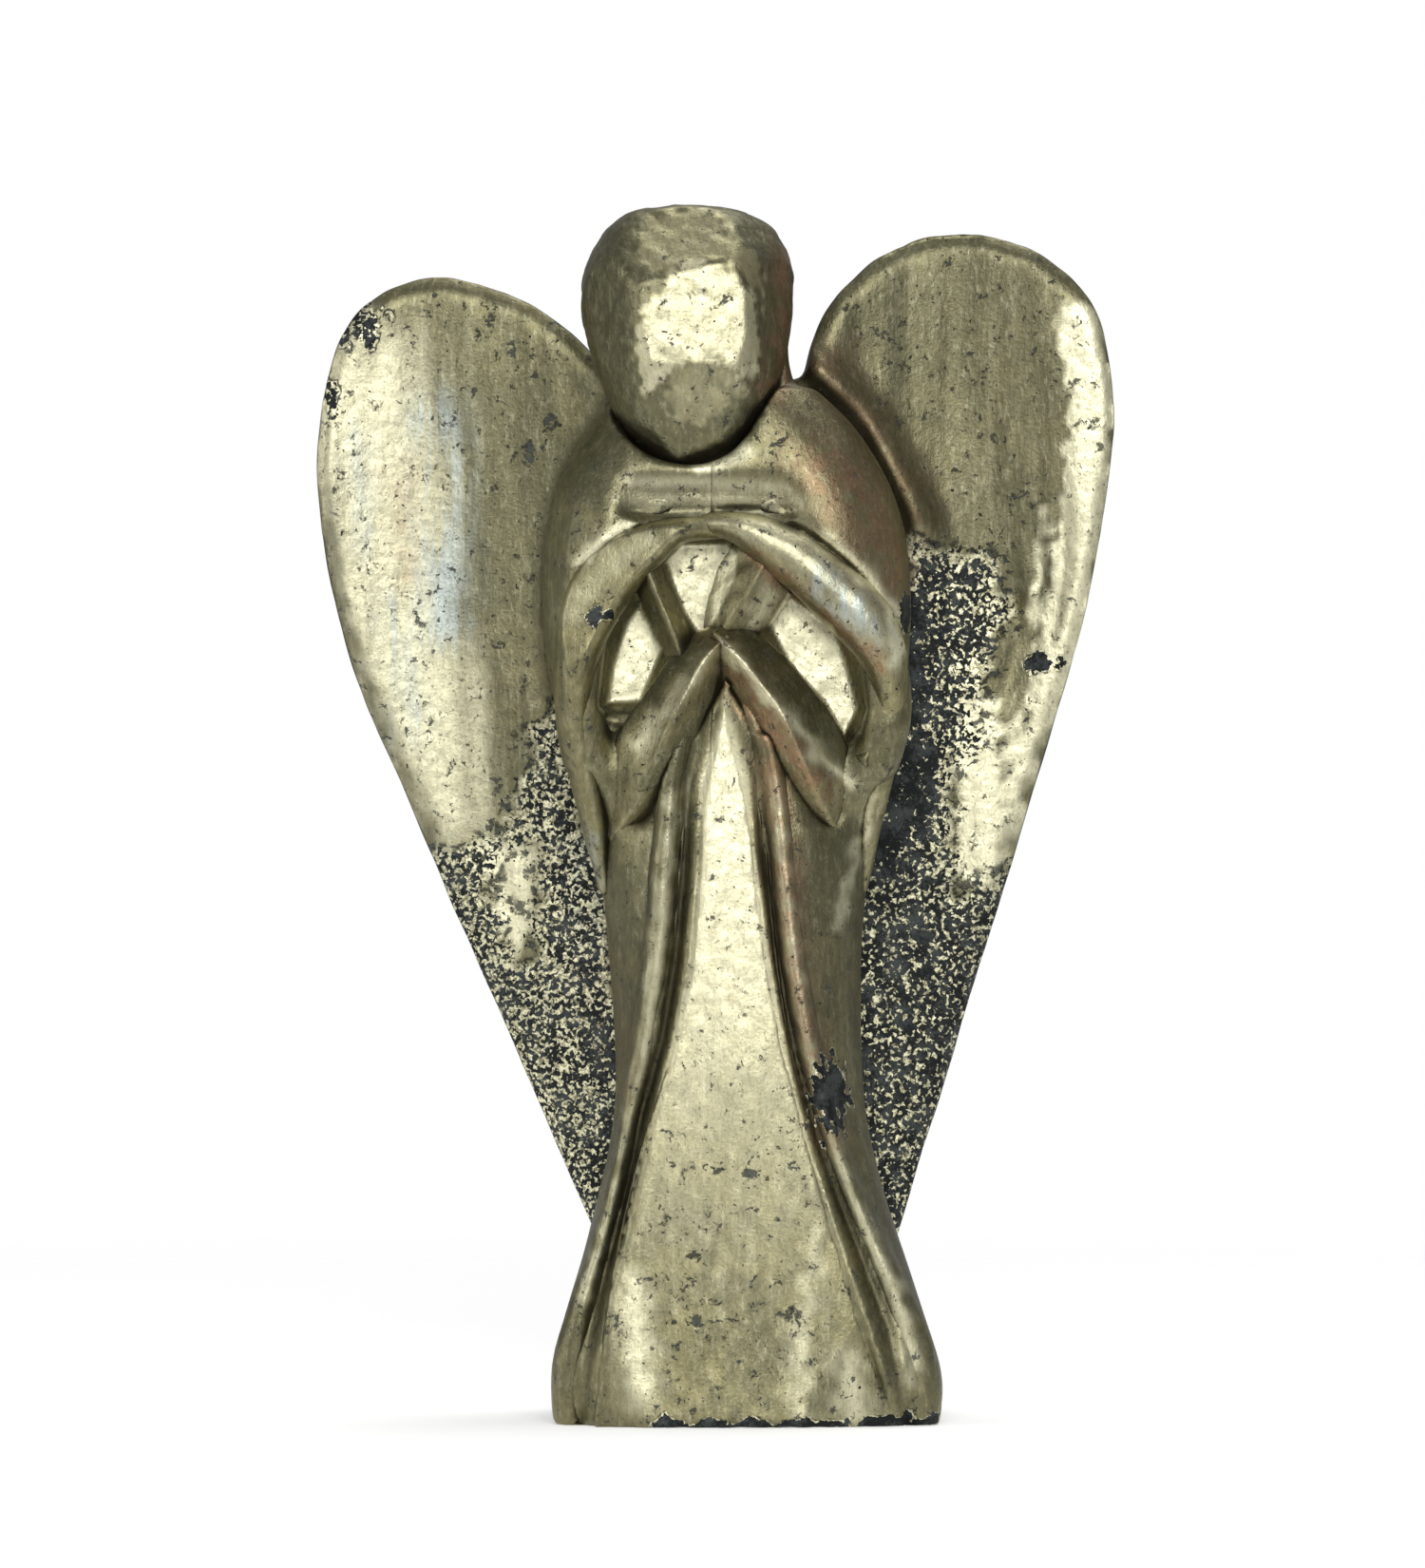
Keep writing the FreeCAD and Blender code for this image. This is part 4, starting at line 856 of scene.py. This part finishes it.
            # painted highlights on the panel and on the hollows' floors
            painted_highlight = np.maximum(painted_highlight, front * ramp(panel, -0.15, 0.35) * (0.85 * ramp(z, 4.0, 38.0)))
            for hollow in HOLLOWS:
                painted_highlight = np.maximum(painted_highlight, front * ramp(inside(hollow, x, z), -0.12, 0.12))
            # painted shade on every piece but the panel, lighter on the sleeves, arms and hands
            piece_shade = 0.4 if "sleeve" in name else 0.5 if name.endswith(("arm", "hand")) else 0.8
            panel_unshaded = ramp(panel, -0.3, 0.2) * (0.15 + 0.85 * ramp(z, 3.0, 26.0))
            painted_shade = np.maximum(painted_shade, piece_shade * (1 - panel_unshaded))
        for mark_x, mark_z, half_width, half_height, strength in MARKS:
            away = np.hypot((x - mark_x) / half_width, (z - mark_z) / half_height)
            mark = ramp(1.4 - away + 0.55 * unevenness(at, 0.8, 15), 0.0, 0.5)
            black = np.maximum(black, strength * front * mark)
        return black, copper, blue, painted_highlight, painted_shade

    def write(self, mesh, name, *layers):
        """Stores three layers on the mesh's points."""
        colours = np.ones((len(mesh.vertices), 4), dtype=np.float32)
        for channel, layer in enumerate(layers):
            colours[:, channel] = layer
        mesh.attributes.new(name, "FLOAT_COLOR", "POINT").data.foreach_set("color", colours.ravel())


# ---------- shader tools

class Wire:
    """A shader socket that can be used in sums."""

    def __init__(self, finish, socket):
        self.finish = finish
        self.socket = socket

    def maths(self, operation, *values):
        return self.finish.node("ShaderNodeMath", {"operation": operation}, *values)

    def __add__(self, other):
        return self.maths("ADD", self, other)

    def __radd__(self, other):
        return self.maths("ADD", other, self)

    def __sub__(self, other):
        return self.maths("SUBTRACT", self, other)

    def __rsub__(self, other):
        return self.maths("SUBTRACT", other, self)

    def __mul__(self, other):
        return self.maths("MULTIPLY", self, other)

    def __rmul__(self, other):
        return self.maths("MULTIPLY", other, self)

    def least(self, other):
        return self.maths("MINIMUM", self, other)

    def most(self, other):
        return self.maths("MAXIMUM", self, other)


class Finish:
    """One material's node tree, written as sums of wires."""

    def __init__(self, material):
        material.use_nodes = True
        self.tree = material.node_tree
        self.tree.nodes.clear()

    def node(self, kind, settings, *values, output=0, **named):
        """Adds a node: its settings, then its sockets in order or by name; gives the wanted output."""
        made = self.tree.nodes.new(kind)
        for key, value in settings.items():
            setattr(made, key, value)
        for key, value in [*enumerate(values), *named.items()]:
            socket = made.inputs[key.replace("_", " ") if isinstance(key, str) else key]
            if isinstance(value, Wire):
                self.tree.links.new(value.socket, socket)
            elif value is not None:
                socket.default_value = value
        return Wire(self, made.outputs[output]) if made.outputs else None

    def noise(self, place, scale, detail=3.0, rough=0.55, twist=0.0):
        """Soft noise from 0 to 1."""
        return self.node("ShaderNodeTexNoise", {}, Vector=place, Scale=scale, Detail=detail,
                         Roughness=rough, Distortion=twist)

    def between(self, value, low, high):
        """0 at low, 1 at high, an easy slope between."""
        return self.node("ShaderNodeMapRange", {"interpolation_type": "SMOOTHSTEP", "clamp": True},
                         value, low, high, 0.0, 1.0)

    def mixed(self, share, first, second):
        """A mix of two colours."""
        made = self.tree.nodes.new("ShaderNodeMix")
        made.data_type = "RGBA"
        sockets = {"Factor": made.inputs[0], "A": made.inputs[6], "B": made.inputs[7]}
        for name, value in (("Factor", share), ("A", first), ("B", second)):
            if isinstance(value, Wire):
                self.tree.links.new(value.socket, sockets[name])
            else:
                sockets[name].default_value = value if isinstance(value, float) else (*value, 1.0)
        return Wire(self, made.outputs[2])

    def stretched(self, place, x, y, z):
        """A place stretched along its axes."""
        return self.node("ShaderNodeVectorMath", {"operation": "MULTIPLY"}, place, (x, y, z))

    def layers(self, name):
        """The three layers stored on a piece's points."""
        colour = self.node("ShaderNodeAttribute", {"attribute_name": name, "attribute_type": "GEOMETRY"})
        parts = self.tree.nodes.new("ShaderNodeSeparateColor")
        self.tree.links.new(colour.socket, parts.inputs[0])
        return [Wire(self, output) for output in parts.outputs]


class ANGEL_OT_stone(bpy.types.Operator):
    """Makes the polished pyrite with its black host rock, tarnish, polishing marks, painted highlights
    and painted shade
    """
    bl_idname = "angel.stone"
    bl_label = "Stone"

    def execute(self, context):
        stone = context.scene.angel_stone
        material = bpy.data.materials.get("pyrite") or bpy.data.materials.new("pyrite")
        made = Finish(material)
        place = made.node("ShaderNodeTexCoord", {}, output="Object")
        place = made.stretched(place, 1 / MM, 1 / MM, 1 / MM)
        black, copper, blue = made.layers("stain")
        # wear layers: shade with some dirt in the creases, the painted highlight and the painted shade
        crease_shade_and_dirt, painted_highlight, painted_shade = made.layers("wear")
        clouds = made.noise(place, 0.16, 4.0, 0.55)
        mottle = made.noise(place, 0.75, 5.0, 0.65)
        fine = made.noise(place, 4.5, 4.0, 0.7)
        streaks = made.noise(made.stretched(place, 1.4, 1.4, 0.12), 1.0, 4.0, 0.6)
        # colour
        patchy = made.between(clouds * 0.45 + mottle * 0.55, 0.40, 0.62)
        # olive mixed in by the painted shade mask is painted shade; the patchy share is the stone's own
        # tone
        colour = made.mixed((patchy * 0.5 + painted_shade * 0.8).least(1.0), stone.brass, stone.olive_and_shade)
        bright = made.between(streaks * 0.55 + fine * 0.45, 0.50, 0.68)
        # cream where the painted highlight lies is a painted highlight; the bright streaks are polish
        # streaks
        worn = painted_highlight * 0.62 + painted_highlight * mottle * 0.55 + bright * 0.22 - painted_shade * bright * 0.1
        worn = worn.least(1.0).most(0.0)
        colour = made.mixed(worn, colour, stone.cream_and_highlight)
        colour = made.mixed(copper * made.between(mottle, 0.30, 0.6), colour, stone.copper)
        colour = made.mixed(blue * made.between(streaks, 0.35, 0.6), colour, stone.tarnish)
        colour = made.mixed(made.between(fine, 0.50, 0.72) * 0.42, colour, stone.dirt_and_shade)
        brushed = made.noise(made.stretched(place, 3.2, 3.2, 1.1), 1.0, 5.0, 0.7)
        colour = made.mixed(made.between(brushed, 0.50, 0.72) * 0.15, colour, stone.cream_and_highlight)
        colour = made.mixed(made.between(brushed, 0.50, 0.30) * 0.22, colour, stone.dirt_and_shade)
        # painted shade with some dirt where a point is closed in, in the coves and on the wings' rims,
        # less where the painted highlight lies
        colour = made.mixed(made.between(crease_shade_and_dirt - painted_highlight * 0.45, 0.12, 0.75) * 0.88, colour, stone.dirt_and_shade)
        # grains of brass in the black rock, and black grains at its border
        grains = made.noise(place, 3.1, 2.5, 0.55, 0.4)
        cover = made.between(grains + black * 0.27, 0.700, 0.735)
        gilt = (1.0 - cover) * made.between(black, 0.3, 0.8)
        colour = made.mixed(gilt * made.between(fine, 0.36, 0.62) * 0.85, colour, stone.cream_and_highlight)
        marked = made.between(black, 0.05, 0.3) * made.between(black, 0.55, 0.35)
        pits = made.between(made.noise(place, 1.35, 6.0, 0.75, 0.3) + marked * 0.09, 0.580, 0.625)
        veins = pits * made.between(mottle, 0.47, 0.53).most(marked)
        dark = cover.most(veins * 0.85)
        rock = made.mixed(made.between(mottle * 0.6 + fine * 0.4, 0.44, 0.60), stone.matrix, stone.slate)
        colour = made.mixed(dark, colour, rock)
        crystals = made.node("ShaderNodeTexVoronoi", {"feature": "SMOOTH_F1"}, Vector=place, Scale=1.3,
                             Smoothness=0.35)
        rough = 0.29 + fine * 0.16 + crease_shade_and_dirt * 0.2 + dark * 0.22 + painted_highlight * 0.06
        height = fine * 0.45 + brushed * 0.5 + streaks * 0.3 - dark * 0.6 + mottle * 0.4
        height = height - crystals * painted_highlight * 0.8
        bump = made.node("ShaderNodeBump", {}, Strength=0.7, Distance=0.00009, Height=height)
        surface = made.node("ShaderNodeBsdfPrincipled", {}, Base_Color=colour, Metallic=0.92 - dark * 0.3,
                            Roughness=rough, Specular_IOR_Level=0.3, Normal=bump)
        made.node("ShaderNodeOutputMaterial", {}, surface)
        return {"FINISHED"}


class ANGEL_OT_stage(bpy.types.Operator):
    """Sets the pale floor, the soft studio light and the camera"""
    bl_idname = "angel.stage"
    bl_label = "Stage"

    def light(self, name, place, target, size, power, colour=(1, 1, 1)):
        lamp = bpy.data.lights.new(name, "AREA")
        lamp.shape, lamp.size, lamp.energy, lamp.color = "DISK", size, power, colour
        holder = bpy.data.objects.new(name, lamp)
        holder.location = place
        holder.visible_camera = False
        holder.rotation_euler = (Vector(target) - Vector(place)).to_track_quat("-Z", "Y").to_euler()
        bpy.context.scene.collection.objects.link(holder)

    def execute(self, context):
        settings = context.scene.angel_stage
        low, high = frame_box
        middle = (low + high) / 2
        model = bmesh.new()
        bmesh.ops.create_circle(model, cap_ends=True, segments=96, radius=0.6)
        mesh = bpy.data.meshes.new("floor")
        model.to_mesh(mesh)
        model.free()
        floor = bpy.data.objects.new("floor", mesh)
        floor.location.z = low.z
        context.scene.collection.objects.link(floor)
        floor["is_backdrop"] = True
        pale = bpy.data.materials.new("pale_floor")
        mesh.materials.append(pale)
        made = Finish(pale)
        place = made.node("ShaderNodeTexCoord", {}, output="Object")
        away = made.node("ShaderNodeVectorMath", {"operation": "LENGTH"}, place, output="Value")
        paper = made.node("ShaderNodeBsdfPrincipled", {}, Base_Color=(0.9, 0.9, 0.9, 1.0), Roughness=0.8,
                          Emission_Color=(1.0, 1.0, 1.0, 1.0), Emission_Strength=0.35)
        clear = made.node("ShaderNodeBsdfTransparent", {})
        fade = made.between(away, 0.05, 0.25)
        faded = made.node("ShaderNodeMixShader", {}, fade, paper, clear)
        made.node("ShaderNodeOutputMaterial", {}, faded)
        world = bpy.data.worlds.new("studio")
        context.scene.world = world
        made = Finish(world)
        seen = made.node("ShaderNodeLightPath", {}, output="Is Camera Ray")
        strength = 0.32 + seen * 0.68
        back = made.node("ShaderNodeBackground", {}, (1.0, 1.0, 1.0, 1.0), strength)
        made.node("ShaderNodeOutputWorld", {}, back)
        self.light("key", (0.02, -0.36, 0.20), middle, 0.22, settings.key)
        self.light("left_fill", (-0.34, -0.16, 0.12), middle, 0.20, settings.key * 0.35)
        self.light("top", (0.05, 0.08, 0.36), middle, 0.25, settings.key * 0.6)
        lens = bpy.data.cameras.new("camera")
        lens.lens = settings.lens
        camera = bpy.data.objects.new("camera", lens)
        camera.location = (-0.00024, middle.y - settings.distance, 0.0399)
        camera.rotation_euler = (math.radians(90), 0, 0)
        lens.clip_start, lens.clip_end = 0.01, 10.0
        context.scene.collection.objects.link(camera)
        context.scene.camera = camera
        context.scene.view_settings.view_transform = "Standard"
        return {"FINISHED"}


class ANGEL_PT_panel(bpy.types.Panel):
    """Lists the steps and their settings"""
    bl_idname = "ANGEL_PT_panel"
    bl_label = "Pyrite Angel"
    bl_space_type = "VIEW_3D"
    bl_region_type = "UI"
    bl_category = "Angel"

    def draw(self, context):
        for step in STEPS:
            self.layout.operator(step.bl_idname)
        for group in (context.scene.angel_carving, context.scene.angel_stone, context.scene.angel_stage):
            box = self.layout.box()
            for name in group.bl_rna.properties.keys():
                if name not in ("rna_type", "name"):
                    box.prop(group, name)


STEPS = (
    ANGEL_OT_head, ANGEL_OT_collar, ANGEL_OT_gown, ANGEL_OT_bodice, ANGEL_OT_sleeves, ANGEL_OT_arms,
    ANGEL_OT_panel, ANGEL_OT_lapels, ANGEL_OT_wings, ANGEL_OT_patina, ANGEL_OT_stone, ANGEL_OT_stage)
CLASSES = (AngelCarving, AngelStone, AngelStage, *STEPS, ANGEL_PT_panel)


def register():
    for entry in CLASSES:
        bpy.utils.register_class(entry)
    bpy.types.Scene.angel_carving = bpy.props.PointerProperty(type=AngelCarving)
    bpy.types.Scene.angel_stone = bpy.props.PointerProperty(type=AngelStone)
    bpy.types.Scene.angel_stage = bpy.props.PointerProperty(type=AngelStage)


def unregister():
    del bpy.types.Scene.angel_carving, bpy.types.Scene.angel_stone, bpy.types.Scene.angel_stage
    for entry in reversed(CLASSES):
        bpy.utils.unregister_class(entry)


def main():
    register()
    for step in STEPS:
        group, name = step.bl_idname.split(".")
        getattr(getattr(bpy.ops, group), name)()


if __name__ == "__main__":
    main()
